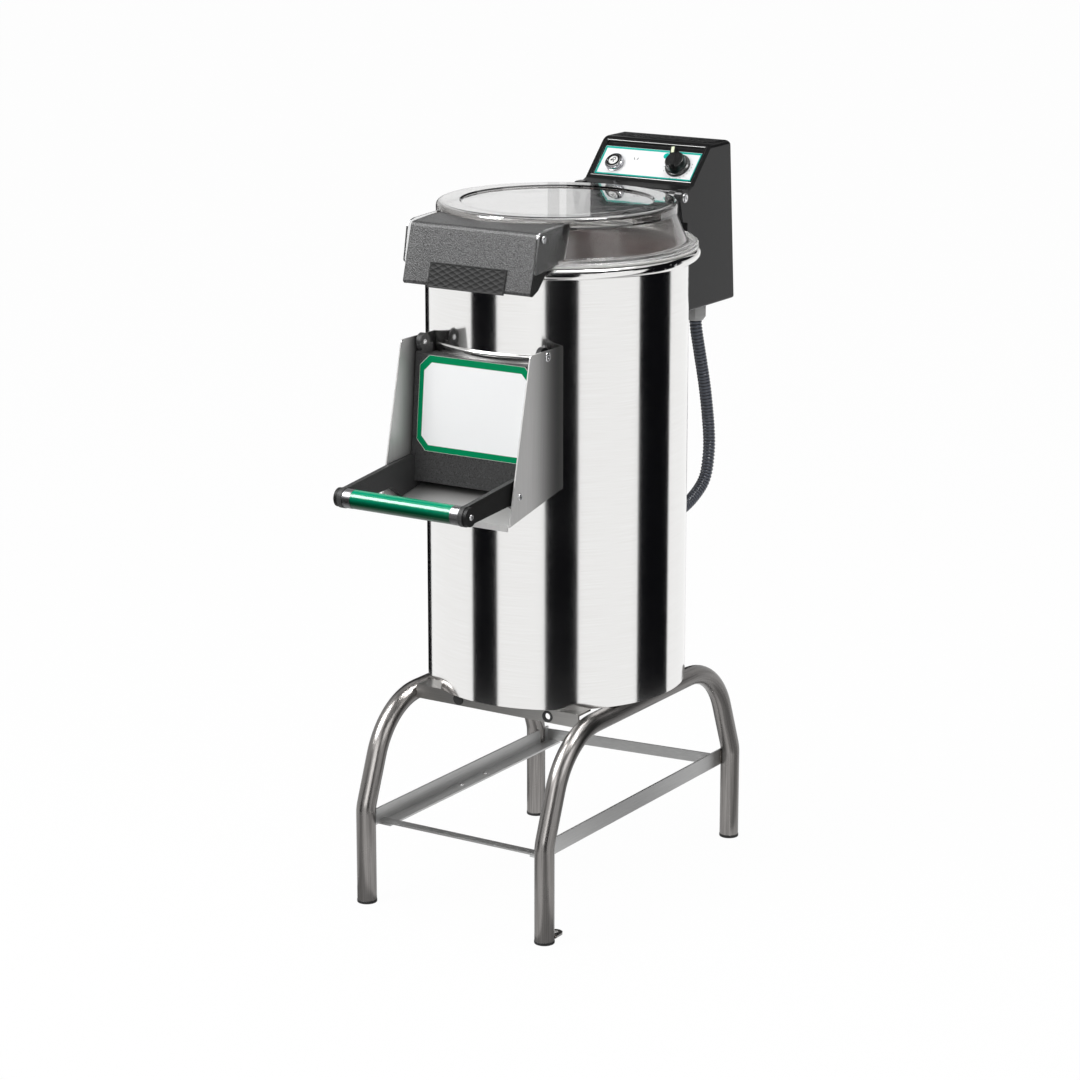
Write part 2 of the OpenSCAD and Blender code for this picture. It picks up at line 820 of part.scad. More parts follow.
module chute() {
    side = rounded([[chute_top_y, chute_top_z, 5], [-drum_r / 2, chute_top_z, 0],
        [-drum_r / 2, chute_back_z, 0], [pivot.x + 36, chute_back_z, 0],
        [chute_bottom_y, chute_bottom_z, 4]]);
    back_y = -drum_r / 2;
    back_z = chute_floor(back_y) - chute_t;
    in_x = chute_x - chute_t;
    lip_inset = 4;
    lip_h = 8;
    color([0.78, 0.77, 0.75]) placed() difference() {
        union() {
            both_sides() along_x(side, in_x, chute_t);
            along_x([[chute_bottom_y, chute_bottom_z], [back_y, back_z],
                [back_y, back_z + chute_t], [chute_bottom_y, chute_bottom_z + chute_t]],
                -chute_x, chute_w);
            slab([chute_w - 2 * lip_inset, chute_t, lip_h],
                [-chute_x + lip_inset, chute_bottom_y, chute_bottom_z + 1 - lip_h]);
        }
        rod_z(drum_r, drum_base_z, rim_z - drum_base_z);
        both_sides() {
            rod_x(door_pin_d / 2, in_x - eps, pivot, chute_t + 2 * eps);
            rod_x(catch_r, in_x - eps, catch_screw, chute_t + 2 * eps);
        }
    }
}

module chute_screws() {
    in_x = chute_x - chute_t;
    lug_l = arm_t + chute_gap;
    head_h = 2.5;
    color([0.8, 0.8, 0.8]) placed() both_sides() {
        rod_x(door_pin_d / 2, in_x - lug_l, pivot, lug_l + chute_t);
        rod_x(door_pin_d / 2 + 3, chute_x, pivot, head_h);
        rod_x(catch_r, in_x - 1, catch_screw, chute_t + 1);
        rod_x(catch_r + 2.5, chute_x, catch_screw, head_h);
    }
}

module door_frame() {
    inner_x = door_x - arm_t;
    cheek = rounded([[cheek_edge(), pivot.y - 4, 0], [cheek_edge(), opening_z - 6, 0],
        [pivot.x - 3, chute_floor(pivot.x - 3) + door_lift, 2],
        [pivot.x - 63, chute_floor(pivot.x - 63) + door_lift, 4],
        [pivot.x - 92, pivot.y - 202, 12], [bar_axis.x, bar_axis.y - arm_end_r + 0.5, 0],
        [bar_axis.x, bar_axis.y + arm_end_r - 0.5, 0], [pivot.x - 84, pivot.y - 168, 30],
        [pivot.x - 27, pivot.y - 164, 5], [door_head.x, pivot.y - 13, 3]]);
    panel = [[door_head.x, door_head.y], [door_head.x + door_wall, door_head.y],
        [door_foot.x + door_wall, door_foot.y], [door_foot.x, door_foot.y]];
    shelf_t = 4;
    shelves = [door_liner_z, (door_liner_z + door_liner_top_z) / 2, door_liner_top_z - shelf_t];
    color([0.2, 0.2, 0.21]) placed() difference() {
        union() {
            both_sides() {
                along_x(cheek, inner_x, arm_t);
                rod_x(door_pin_d / 2 + 9, inner_x, pivot, arm_t);
                rod_x(arm_end_r, inner_x, bar_axis, arm_t);
                rod_x(arm_end_r - 1, door_x, bar_axis, boss_h);
            }
            along_x(panel, -inner_x - eps, door_w - 2 * arm_t + 2 * eps);
            for (z = shelves) difference() {
                slab([2 * inner_x + 2 * eps, 100, shelf_t], [-inner_x - eps, panel_y(z) + 1, z]);
                rod_z(door_liner_r + door_liner_t, z - eps, shelf_t + 2 * eps);
            }
        }
        both_sides() {
            rod_x(door_pin_d / 2 + run_gap, inner_x - eps, pivot, arm_t + 2 * eps);
            rod_x(bar_d / 2 - bar_wall, inner_x - eps, bar_axis, arm_t - 2);
        }
    }
}

// The height of the chute floor's upper face at a place along Y
function chute_floor(y) = chute_bottom_z + chute_t + chute_slope * (y - chute_bottom_y);
// Where the front face of the door lies at a height
function panel_y(z) = door_foot.x + (z - door_foot.y) * tan(door_rake);
// The rear edge of the door's cheeks, clear of the drum at the cheek's inner face
function cheek_edge() = -sqrt(pow(drum_r + 12, 2) - pow(door_x - arm_t, 2));

module door_liner() {
    color([0.7, 0.7, 0.7]) placed() intersection() {
        tube_z(door_liner_r + door_liner_t, door_liner_r, door_liner_z,
            door_liner_top_z - door_liner_z);
        slab([2 * door_liner_x, drum_r + 20, door_liner_top_z - door_liner_z],
            [-door_liner_x, -drum_r - 20, door_liner_z]);
    }
}

module door_gasket() {
    color([0.1, 0.1, 0.1]) placed() difference() {
        intersection() {
            tube_z(door_liner_r - run_gap, seal_r, door_liner_z,
                door_liner_top_z - door_liner_z);
            slab([2 * door_liner_x, drum_r + 20, door_liner_top_z - door_liner_z],
                [-door_liner_x, -drum_r - 20, door_liner_z]);
        }
        slab([2 * (door_liner_x - seal_w + 1), drum_r + 30,
            door_liner_top_z - door_liner_z - 2 * seal_w + 2],
            [-(door_liner_x - seal_w + 1), -drum_r - 30, door_liner_z + seal_w - 1]);
    }
}

module door_label() {
    half = door_x - arm_t - 1;
    low = 46;
    high = norm(door_head - door_foot) - 1;
    color([0.95, 0.96, 0.95]) placed() on_door() linear_extrude(0.8) polygon([
        [-half, low + label_cut], [-half + label_cut, low], [half - label_cut, low],
        [half, low + label_cut], [half, high - label_cut], [half - label_cut, high],
        [-half + label_cut, high], [-half, high - label_cut]]);
}

module handle_bar() {
    inner_x = door_x - arm_t;
    color([0.25, 0.25, 0.27]) placed() difference() {
        union() {
            rod_x(bar_d / 2 - sleeve_t, -inner_x, bar_axis, 2 * inner_x);
            both_sides() rod_x(bar_d / 2, sleeve_l / 2, bar_axis, inner_x - sleeve_l / 2);
        }
        rod_x(bar_d / 2 - bar_wall, -inner_x - eps, bar_axis, 2 * inner_x + 2 * eps);
    }
}

module handle_sleeve() {
    color([0, 0.42, 0.22]) placed() difference() {
        rod_x(bar_d / 2, -sleeve_l / 2, bar_axis, sleeve_l);
        rod_x(bar_d / 2 - sleeve_t, -sleeve_l / 2 - eps, bar_axis, sleeve_l + 2 * eps);
    }
}

module handle_end_screws() {
    plug_l = 20;
    head_x = door_x + boss_h;
    color([0.75, 0.75, 0.75]) placed() both_sides() difference() {
        union() {
            rod_x(4.5, head_x, bar_axis, 2);
            rod_x(bar_d / 2 - bar_wall, door_x - arm_t - plug_l, bar_axis,
                plug_l + arm_t - 4 - eps);
        }
        rod_x(2, head_x + 1, bar_axis, 2);
    }
}

// ---- Lid ----

function lid_outline() = [[flange_r, lid_z, 0], [flange_r, lid_z + flange_t, 0.8],
    [step_r, lid_z + flange_t, 0], [step_r, step_z, 0.8], [lid_foot_r, step_z, 2],
    [lid_neck_r, lid_neck_z, 0], [lid_top_r, lid_neck_z, 0.8], [lid_top_r, lid_top_z, 8],
    [lid_disc_r + 3, lid_top_z, 1], [lid_disc_r, lid_top_z - 3, 0],
    [0, lid_top_z - 3, 0]];

module lid() {
    t = lid_wall;
    inside = [[0, lid_top_z - 3 - t, 0], [lid_disc_r - 1, lid_top_z - 3 - t, 0],
        [lid_disc_r + 2, lid_top_z - t, 0], [lid_top_r - t, lid_top_z - t, 5],
        [lid_top_r - t, lid_neck_z + t, 0], [lid_neck_r - t, lid_neck_z, 0],
        [lid_foot_r - t, lid_z, 0]];
    ear = rounded([[-(rim_r + 26), rim_z - 2, 4], [-(rim_r + 15), rim_z + 56, 8],
        [-(rim_r - 3), rim_z + 60, 4], [ear_back(lid_top_r) + 1, lid_top_z - 6, 0],
        [ear_back(lid_foot_r) + 2, step_z + 2, 0], [-(rim_r - 24), lid_z, 3]]);
    color([0.85, 0.88, 0.9, 0.35]) placed() difference() {
        union() {
            rotate_extrude($fn = 128) polygon(rounded(concat(lid_outline(), inside)));
            both_sides() along_x(ear, ear_x, ear_t);
        }
        both_sides() rod_x(ear_screw_r, ear_x - eps, ear_screw, ear_t + 2 * eps);
    }
}

// Where a circle round the axis meets the ear's plane
function ear_back(r) = -sqrt(r * r - pow(ear_x, 2));

module lid_handle_block() {
    half = grip_w / 2;
    top_z = rim_z + 60;
    back_y = -drum_r / 2;
    outside = rounded([[grip_foot.x, grip_foot.y, 5], [grip_brow.x, grip_brow.y, 9],
        [-lid_top_r + 10, top_z, 0], [back_y, top_z, 0], [back_y, lid_z + 1, 0],
        [-(rim_r - 16), rim_z + 1, 0], [-(rim_r + 10), rim_z - 25, 6]]);
    w = grip_wall;
    inside = [[grip_foot.x + w - 5, grip_foot.y - 18], [grip_brow.x + w, grip_brow.y - w - 1],
        [back_y, top_z - w - 1], [back_y, grip_foot.y - 18]];
    color([0.22, 0.22, 0.23]) placed() difference() {
        along_x(outside, -half, grip_w);
        along_x(inside, -half + w, grip_w - 2 * w);
        lid_space(0.2);
        rod_z(rim_r + 2, rim_z - 60, 62);
        both_sides() rod_x(ear_screw_r, half - w - eps, ear_screw, w + 2 * eps);
    }
}

// The space that the lid's outer shape and all below it take, with room round it
module lid_space(room) {
    low = lid_z - 30;
    high = lid_top_z + 10;
    rotate_extrude() polygon([[0, low], [flange_r + room, low],
        [flange_r + room, lid_z + flange_t + room], [step_r + room, lid_z + flange_t + room],
        [step_r + room, step_z + room], [lid_foot_r + room, step_z + room],
        [lid_neck_r + room, lid_neck_z - room], [lid_top_r + room, lid_neck_z - room],
        [lid_top_r + room, high], [0, high]]);
}

module grip_pad() {
    low = 3;
    color([0.08, 0.08, 0.08]) placed() on_grip() linear_extrude(pad_t)
        polygon(rounded([[-pad_w / 2, low, 1], [pad_w / 2, low, 1],
            [pad_w / 2, low + pad_h, 1], [-pad_w / 2, low + pad_h, 1]]));
}

module lid_ear_screws() {
    color([0.8, 0.8, 0.8]) placed() both_sides() {
        rod_x(ear_screw_r, ear_x - grip_wall - 4, ear_screw, grip_wall + 4 + ear_t);
        rod_x(ear_screw_r + 2.5, ear_x + ear_t, ear_screw, 2.2);
    }
}

module lid_hinge_ears() {
    web = rounded([[hinge.x - 28, step_z, 0], [hinge.x - 10, step_z, 0],
        [hinge.x + hinge_ear_r - 0.5, hinge.y - 1, 0], [hinge.x - 6, hinge.y + 5, 0]]);
    x0 = hinge_ear_x;
    color([0.12, 0.12, 0.12]) placed() both_sides() difference() {
        union() {
            along_x(web, x0, hinge_ear_t);
            rod_x(hinge_ear_r, x0, hinge, hinge_ear_t);
            intersection() {
                slab([hinge_ear_t + 12, 30, 3], [x0 - 6, hinge.x - 33, step_z]);
                rod_z(step_r, step_z, 3);
            }
        }
        rod_x(hinge_pin_d / 2 + run_gap, x0 - eps, hinge, hinge_ear_t + 2 * eps);
        lid_space(0);
    }
}

module hinge_pins() {
    inner = hinge_ear_x - 2;
    color([0.8, 0.8, 0.8]) placed() both_sides() {
        rod_x(hinge_pin_d / 2, inner, hinge, box_x - inner);
        rod_x(hinge_pin_d / 2 + 3.5, box_x, hinge, 2.5);
    }
}

// ---- Control box ----

function box_back(z) = box_back_y - (z - box_z) * box_lean;

module control_housing() {
    w = box_wall;
    outside = rounded([[box_front_y, box_z, 3], [box_back(box_z), box_z, 4],
        [box_back(box_top_z), box_top_z, 9], [fascia_top_y, box_top_z, 7],
        [fascia_foot.x, fascia_foot.y, 3], [box_front_y, fascia_foot.y - 6, 6]]);
    depth = fascia_pocket + w;
    inside = [[box_front_y + w, box_z + w], [box_front_y + w, fascia_foot.y - 9],
        [fascia_foot.x + depth * sin(fascia_tilt), fascia_foot.y - depth * cos(fascia_tilt)],
        [fascia_top_y + depth * sin(fascia_tilt), box_top_z - depth * cos(fascia_tilt)],
        [fascia_top_y + depth * sin(fascia_tilt), box_top_z - w],
        [box_back_y + 20, box_top_z - w], [box_back_y + 20, box_z + w]];
    front = rounded([[-box_x, box_z, 4], [box_x, box_z, 4], [box_x, box_top_z, 8],
        [-box_x, box_top_z, 8]]);
    cheek = rounded([[box_front_y + 1, hinge.y - 40, 0], [box_front_y - 14, hinge.y - 37, 5],
        [hinge.x - 13, hinge.y - 6, 8], [hinge.x - 10, hinge.y + 12, 8],
        [box_front_y + 1, hinge.y + 12, 0]]);
    color([0.13, 0.13, 0.13]) placed() difference() {
        union() {
            intersection() {
                along_x(outside, -box_x, box_w);
                along_y(front, box_front_y - 5, box_depth + 10);
            }
            both_sides() along_x(cheek, cheek_x, cheek_t);
        }
        along_x(inside, -box_x + w, box_w - 2 * w);
        on_fascia() slab([2 * pocket_x, pocket_high - pocket_low, 10],
            [-pocket_x, pocket_low, -fascia_pocket]);
        on_fascia() translate([button_at.x, button_at.y, -20]) cylinder(d = button_neck_d, h = 20);
        on_fascia() translate([knob_at.x, knob_at.y, -20]) cylinder(d = knob_shaft_d + 1, h = 20);
        both_sides() rod_x(hinge_pin_d / 2, cheek_x - eps, hinge, cheek_t + 2 * eps);
        translate([conduit_x, gland_y, box_z - eps]) cylinder(d = gland_d - 7, h = w + 2 * eps);
    }
}

module rear_cover() {
    w = box_wall;
    low = box_z + w;
    high = box_top_z - w;
    color([0.13, 0.13, 0.13]) placed() difference() {
        along_x([[box_back(low), low], [box_back(low) - w, low], [box_back(high) - w, high],
            [box_back(high), high - 8 * w]], -box_x + w, box_w - 2 * w);
        for (at = cover_screw_places())
            rod_y(cover_screw_r, at, box_back(at.y) - w - 2, w + 4);
    }
}

// The (X, Z) places of the screws that hold the rear cover
function cover_screw_places() = [for (x = [-box_x + 12, box_x - 12],
    z = [box_z + box_wall + 12, box_top_z - box_wall - 40]) [x, z]];

module cover_screws() {
    head_r = 3.5;
    head_h = 0.8;
    color([0.7, 0.7, 0.7]) placed() for (at = cover_screw_places()) {
        rod_y(cover_screw_r, at, box_back(at.y) - box_wall - 2, box_wall + 2.5);
        rod_y(head_r, at, box_back(at.y) + 0.2, head_h);
    }
}

module fascia_bezel() {
    color([0.1, 0.1, 0.1]) placed() on_fascia() difference() {
        slab([2 * pocket_x, pocket_high - pocket_low, fascia_pocket + bezel_rise],
            [-pocket_x, pocket_low, -fascia_pocket]);
        slab([2 * (pocket_x - bezel_w), pocket_high - pocket_low - 2 * bezel_w, 20],
            [-pocket_x + bezel_w, pocket_low + bezel_w, -10]);
    }
}

module fascia_label() {
    half = pocket_x - bezel_w;
    color([0.95, 0.96, 0.96]) placed() on_fascia() difference() {
        slab([2 * half, label_h, label_t], [-half, pocket_low + bezel_w, -fascia_pocket]);
        translate([button_at.x, button_at.y, -10]) cylinder(d = button_neck_d, h = 20);
        translate([knob_at.x, knob_at.y, -10]) cylinder(d = knob_shaft_d + 1, h = 20);
    }
}

module button_collar() {
    neck_l = 14;
    stem_r = button_stem_d / 2 + free_gap;
    well_r = button_d / 2 + free_gap + 0.1;
    color([0.78, 0.78, 0.8]) placed() on_fascia()
        translate([button_at.x, button_at.y, label_face]) rotate_extrude() polygon(rounded([
            [stem_r, -neck_l, 0], [button_neck_d / 2, -neck_l, 0],
            [button_neck_d / 2, 0, 0], [collar_d / 2, 0, 0], [collar_d / 2, collar_h, 1.5],
            [well_r, collar_h, 0.5], [well_r, collar_floor, 0], [stem_r, collar_floor, 0]]));
}

module start_button() {
    low = collar_floor + 0.4 + button_travel;
    rim = collar_h + 1;
    crown = rim + 0.8;
    r = button_d / 2;
    color([0.92, 0.92, 0.9]) placed() on_fascia()
        translate([button_at.x, button_at.y, label_face]) {
            rotate_extrude() polygon(rounded([[0, low, 0], [r, low, 0], [r, rim, 1],
                [r - 3.5, rim, 0.5], [r - 4, crown, 0.5], [0, crown, 0]]));
            rod_z(button_stem_d / 2, -16, low + 16 + eps);
        }
}

module timer_knob() {
    r = knob_d / 2;
    body_h = 18;
    color([0.06, 0.06, 0.06]) placed() on_fascia()
        translate([knob_at.x, knob_at.y, knob_lift]) difference() {
            union() {
                rotate_extrude() polygon(rounded([[0, 0, 0], [r, 0, 0.5], [r, 4, 2],
                    [r - 3.5, 6, 2], [r - 5, body_h, 2], [0, body_h, 0]]));
                rotate([0, 0, knob_turn]) knob_bar(9, knob_h);
                rod_z(knob_shaft_d / 2, -16, 20);
            }
            rotate([0, 0, knob_turn]) pointer_slab(4);
        }
}

// The raised bar across the knob, rounded at its ends
module knob_bar(width, height) {
    intersection() {
        slab([width, knob_d, height - 6], [-width / 2, -knob_d / 2, 6]);
        cylinder(r1 = knob_d / 2 - 1, r2 = knob_d / 2 - 3, h = height);
    }
}

// The space of the pale pointer in the knob's bar
module pointer_slab(height) {
    pointer_w = 5;
    pointer_l = 12;
    slab([pointer_w, pointer_l, height],
        [-pointer_w / 2, knob_d / 2 - 2 - pointer_l, knob_h - 1.6]);
}

module knob_pointer() {
    color([0.85, 0.9, 0.7]) placed() on_fascia()
        translate([knob_at.x, knob_at.y, knob_lift]) rotate([0, 0, knob_turn])
            intersection() {
                pointer_slab(2.4);
                rod_z(knob_d / 2 - 3.2, 0, knob_h + 2);
            }
}

module timer_body() {
    face = -fascia_pocket - box_wall;
    side = 42;
    body_l = 28;
    tabs = [-13, 0, 13];
    tab_w = 6;
    color([0.85, 0.85, 0.82]) placed() on_fascia() translate([knob_at.x, knob_at.y, face])
        difference() {
            union() {
                slab([side, side, body_l], [-side / 2, -side / 2, -body_l]);
                for (x = tabs) slab([tab_w, 1, 8], [x - tab_w / 2, -tab_w, -body_l - 7]);
            }
            rod_z(knob_shaft_d / 2 + run_gap, -20, 20 + eps);
        }
}

module contactor() {
    body = [50, 60, 80];
    terminal = [10, 12, 92];
    rise = (terminal.z - body.z) / 2;
    color([0.3, 0.3, 0.32]) placed() translate([-75, box_front_y + box_wall, box_z + 40]) {
        slab(body, [0, 0, 0]);
        for (x = [5, 20, 35]) slab(terminal, [x, body.y / 2 + 4, -rise]);
    }
}

module cable_glands() {
    color([0.72, 0.72, 0.72]) placed() {
        translate([conduit_x, gland_y, box_z]) gland();
        translate([conduit_x, drum_skin(conduit_x + gland_d / 2), tail_z]) rotate([-90, 0, 0])
            mirror([0, 0, 1]) tail_gland();
    }
}

// How far out in Y the drum's surface lies at a distance from the middle plane
function drum_skin(x) = sqrt(pow(drum_r, 2) - pow(x, 2));

module gland() {
    grip = 18;
    nut_h = 12;
    neck_h = 10;
    difference() {
        union() {
            translate([0, 0, -gland_h])
                cylinder(d1 = gland_d - 3, d2 = gland_d, h = gland_h - nut_h);
            translate([0, 0, -nut_h]) cylinder(d = gland_d + 5, h = nut_h, $fn = 6);
            rod_z(gland_d / 2 - 3.5, 0, neck_h);
        }
        rod_z(conduit_r, -gland_h - eps, grip + eps);
        rod_z(conduit_r - 3, -gland_h, gland_h + neck_h + eps);
    }
}

module tail_gland() {
    grip = 14;
    skin = drum_skin(conduit_x + gland_d / 2);
    out = tail_end_y + grip - skin;
    difference() {
        rod_z(gland_d / 2, -out, out + 2);
        rod_z(conduit_r, -out - eps, grip + eps);
        rod_z(conduit_r - 3, -out, out + 10);
        rotate([90, 0, 0]) translate([-conduit_x, skin, 0])
            rod_z(drum_r, -gland_d, 2 * gland_d);
    }
}

// The conduit's centre line, a smooth curve through its points in the (Y, Z) plane
function spline(p, i, t) =
    let (n = len(p) - 1)
    let (a = p[max(i - 1, 0)])
    let (d = p[min(i + 2, n)])
    0.5 * (2 * p[i] + (p[i + 1] - a) * t
        + (2 * a - 5 * p[i] + 4 * p[i + 1] - d) * t * t
        + (3 * p[i] - a - 3 * p[i + 1] + d) * t * t * t);
function run_at(s) =
    let (n = len(conduit_points) - 1)
    let (i = min(floor(s * n), n - 1))
    spline(conduit_points, i, s * n - i);

module conduit() {
    step = 1 / conduit_rings;
    rings = [for (k = [0:conduit_rings])
        let (p = run_at(k * step))
        let (q = run_at(min(1, k * step + step / 4)) - run_at(max(0, k * step - step / 4)))
        let (n = k == 0 ? [1, 0] : k == conduit_rings ? [0, 1] : unit([-q.y, q.x]))
        [for (j = [0:conduit_sides - 1])
            let (a = 360 / conduit_sides * j)
            [conduit_x + conduit_r * cos(a), p.x + conduit_r * sin(a) * n.x,
                p.y + conduit_r * sin(a) * n.y]]];
    m = conduit_sides;
    skin = [for (k = [0:conduit_rings - 1], j = [0:m - 1])
        [k * m + j, k * m + (j + 1) % m, (k + 1) * m + (j + 1) % m, (k + 1) * m + j]];
    ends = [[for (j = [m - 1:-1:0]) j], [for (j = [0:m - 1]) conduit_rings * m + j]];
    color([0.25, 0.28, 0.32]) placed()
        polyhedron([for (r = rings) each r], concat(skin, ends));
}

module box_bracket() {
    half = bracket_w / 2;
    color([0.6, 0.6, 0.6]) placed() difference() {
        slab([bracket_w, box_front_y - drum_r / 2, bracket_h], [-half, drum_r / 2, bracket_z]);
        slab([bracket_w - 2 * bracket_t, box_front_y - bracket_t, bracket_h + 2],
            [-half + bracket_t, 0, bracket_z - 1]);
        rod_z(drum_r, bracket_z - 1, bracket_h + 2);
    }
}

stand_frame_left();
stand_frame_right();
foot_caps();
anchor_tab();
front_cross_plate();
rear_cross_plate();
tray_rail_left();
tray_rail_right();
front_tie_bar();
rear_stop_bar();
stand_bolts();
drum_shell();
rim_gasket();
base_plate();
chamber_floor();
abrasive_liner();
abrasive_disc();
disc_spindle();
disc_nut();
bearing_housing();
spindle_bearings();
shaft_seal();
large_pulley();
motor_pulley();
drive_belt();
drive_plate();
motor_housing();
motor_shaft();
motor_fan();
drain_outlet();
water_inlet();
chute();
chute_screws();
door_frame();
door_liner();
door_gasket();
door_label();
handle_bar();
handle_sleeve();
handle_end_screws();
lid();
lid_handle_block();
grip_pad();
lid_ear_screws();
lid_hinge_ears();
hinge_pins();
control_housing();
rear_cover();
cover_screws();
fascia_bezel();
fascia_label();
button_collar();
start_button();
timer_knob();
knob_pointer();
timer_body();
contactor();
cable_glands();
conduit();
box_bracket();
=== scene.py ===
import math

import bmesh
import bpy
from mathutils import Matrix, Vector


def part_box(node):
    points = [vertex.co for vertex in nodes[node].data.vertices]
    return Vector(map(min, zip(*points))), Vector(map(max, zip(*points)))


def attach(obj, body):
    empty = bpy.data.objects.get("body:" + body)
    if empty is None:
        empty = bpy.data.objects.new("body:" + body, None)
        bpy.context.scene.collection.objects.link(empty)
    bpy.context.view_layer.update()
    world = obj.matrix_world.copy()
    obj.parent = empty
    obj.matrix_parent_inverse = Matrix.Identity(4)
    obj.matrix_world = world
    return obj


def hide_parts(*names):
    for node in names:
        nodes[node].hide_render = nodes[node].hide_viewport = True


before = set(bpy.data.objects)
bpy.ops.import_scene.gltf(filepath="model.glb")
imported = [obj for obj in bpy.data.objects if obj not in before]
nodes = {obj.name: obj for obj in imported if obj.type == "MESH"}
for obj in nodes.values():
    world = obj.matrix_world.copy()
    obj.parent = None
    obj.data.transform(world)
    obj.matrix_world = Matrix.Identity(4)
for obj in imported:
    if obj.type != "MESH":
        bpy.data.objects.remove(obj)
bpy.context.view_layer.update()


# ---- Camera ----
# The camera stands to the right of the peeler's door, a little above its lid, and looks down
# at it through a long lens.

camera_place = (2.59319, -4.09884, 1.793)
camera_turn = (75.45, 0, 32.46)
camera_lens = 109.57
film_width = 36
sight_end = 60
camera = bpy.data.objects.new("camera", bpy.data.cameras.new("camera"))
camera.location = camera_place
camera.rotation_euler = [math.radians(angle) for angle in camera_turn]
camera.data.lens = camera_lens
camera.data.sensor_width = film_width
camera.data.clip_end = sight_end
bpy.context.scene.collection.objects.link(camera)
bpy.context.scene.camera = camera


# ---- Studio ----
# A white room: a wide pale floor, a white surround and four soft lamps. Black flags stand
# round the drum for the dark bands in its polish, with grey bands on the floor inside them,
# and bright cards put gleams on the steel and the lid.

room_light = 0.62
steel_sees = 0.96
floor_reach = 30
floor_white = 0.9
floor_shows = 0.97
flag_radius = 1.1
flag_black = (0.004, 0.004, 0.005, 1)
flag_steps = 16
band_radius = 0.3
band_grey = 0.42
on_floor = 0.002
flag_spans = [(-165, -108, on_floor, 1.06), (-41, -17, on_floor, 0.95),
              (23, 49, on_floor, 1.7), (102, 140, on_floor, 1.7),
              (-188, -151, 1.16, 1.8), (49, 102, 1.12, 1.7), (140, 166, 1.12, 1.7)]
drum_low, drum_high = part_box("drum_shell")
base_low, base_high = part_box("base_plate")
drum_axis = Vector(((drum_low.x + drum_high.x) / 2, (base_low.y + base_high.y) / 2, 0))

world = bpy.data.worlds.new("studio")
bpy.context.scene.world = world
world.use_nodes = True
tree = world.node_tree
tree.nodes.clear()
output = tree.nodes.new("ShaderNodeOutputWorld")
paths = tree.nodes.new("ShaderNodeLightPath")
plain = tree.nodes.new("ShaderNodeBackground")
plain.inputs["Strength"].default_value = room_light
seen = tree.nodes.new("ShaderNodeBackground")
seen.inputs["Color"].default_value = (1, 1, 1, 1)
mirrored = tree.nodes.new("ShaderNodeBackground")
mirrored.inputs["Strength"].default_value = steel_sees
bpy.context.scene.view_settings.view_transform = "Standard"


def feed(tree, given, socket):
    """Links a socket to an output, or sets it to a number, a vector or a colour."""
    if isinstance(given, bpy.types.NodeSocket):
        tree.links.new(given, socket)
    elif socket.type == "RGBA":
        socket.default_value = (*given, 1)
    else:
        socket.default_value = given


def worked_out(tree, kind, operation, *given):
    """The outputs of a maths node that works on outputs, numbers or vectors."""
    node = tree.nodes.new(kind)
    node.operation = operation
    for value, socket in zip(given, node.inputs):
        feed(tree, value, socket)
    return node.outputs


def one_or_other(tree, share, first, second):
    """The mix of two shaders by a share of the second."""
    mix = tree.nodes.new("ShaderNodeMixShader")
    for value, socket in zip((share, first.outputs[0], second.outputs[0]), mix.inputs):
        feed(tree, value, socket)
    return mix


by_glass = worked_out(tree, "ShaderNodeMath", "MAXIMUM", paths.outputs["Is Glossy Ray"],
                      paths.outputs["Is Transmission Ray"])[0]
unseen = one_or_other(tree, by_glass, plain, mirrored)
room = one_or_other(tree, paths.outputs["Is Camera Ray"], unseen, seen)
feed(tree, room.outputs[0], output.inputs["Surface"])


def mesh_piece(name, shape, finish, smooth=True):
    """A new object whose mesh is the given bmesh, in the given finish."""
    mesh = bpy.data.meshes.new(name)
    shape.to_mesh(mesh)
    shape.free()
    mesh.polygons.foreach_set("use_smooth", [smooth] * len(mesh.polygons))
    mesh.materials.append(finish)
    piece = bpy.data.objects.new(name, mesh)
    bpy.context.scene.collection.objects.link(piece)
    return piece


def opened(finish):
    """A material's node tree and main shader."""
    return finish.node_tree, finish.node_tree.nodes["Principled BSDF"]


def new_finish(name):
    """A new material with its node tree and main shader."""
    finish = bpy.data.materials.new(name)
    finish.use_nodes = True
    return finish, *opened(finish)


floor_shape = bmesh.new()
for x, y in ((-1, -1), (1, -1), (1, 1), (-1, 1)):
    floor_shape.verts.new((floor_reach * x, floor_reach * y, 0))
floor_shape.faces.new(floor_shape.verts)
floor_finish, tree, shader = new_finish("pale_floor")
shader.inputs["Base Color"].default_value = (floor_white, floor_white, floor_white, 1)
shader.inputs["Roughness"].default_value = 0.9
shader.inputs["Specular IOR Level"].default_value = 0
glow = tree.nodes.new("ShaderNodeEmission")
paths = tree.nodes.new("ShaderNodeLightPath")
in_view = worked_out(tree, "ShaderNodeMath", "MULTIPLY", paths.outputs["Is Camera Ray"],
                     floor_shows)[0]
glows = worked_out(tree, "ShaderNodeMath", "MAXIMUM", in_view, paths.outputs["Is Glossy Ray"])[0]
lit = one_or_other(tree, glows, shader, glow)
feed(tree, lit.outputs[0], tree.nodes["Material Output"].inputs["Surface"])
studio_floor = mesh_piece("studio_floor", floor_shape, floor_finish, smooth=False)


def mirror_card(name, rows, finish):
    """A card that only gloss sees, skinned between rows of points."""
    shape = bmesh.new()
    rows = [[shape.verts.new(point) for point in row] for row in rows]
    for row, after in zip(rows, rows[1:]):
        for i in range(len(row) - 1):
            shape.faces.new((row[i], row[i + 1], after[i + 1], after[i]))
    card = mesh_piece(name, shape, finish)
    card.visible_camera = False
    card.visible_diffuse = False
    card.visible_shadow = False
    card.visible_transmission = False


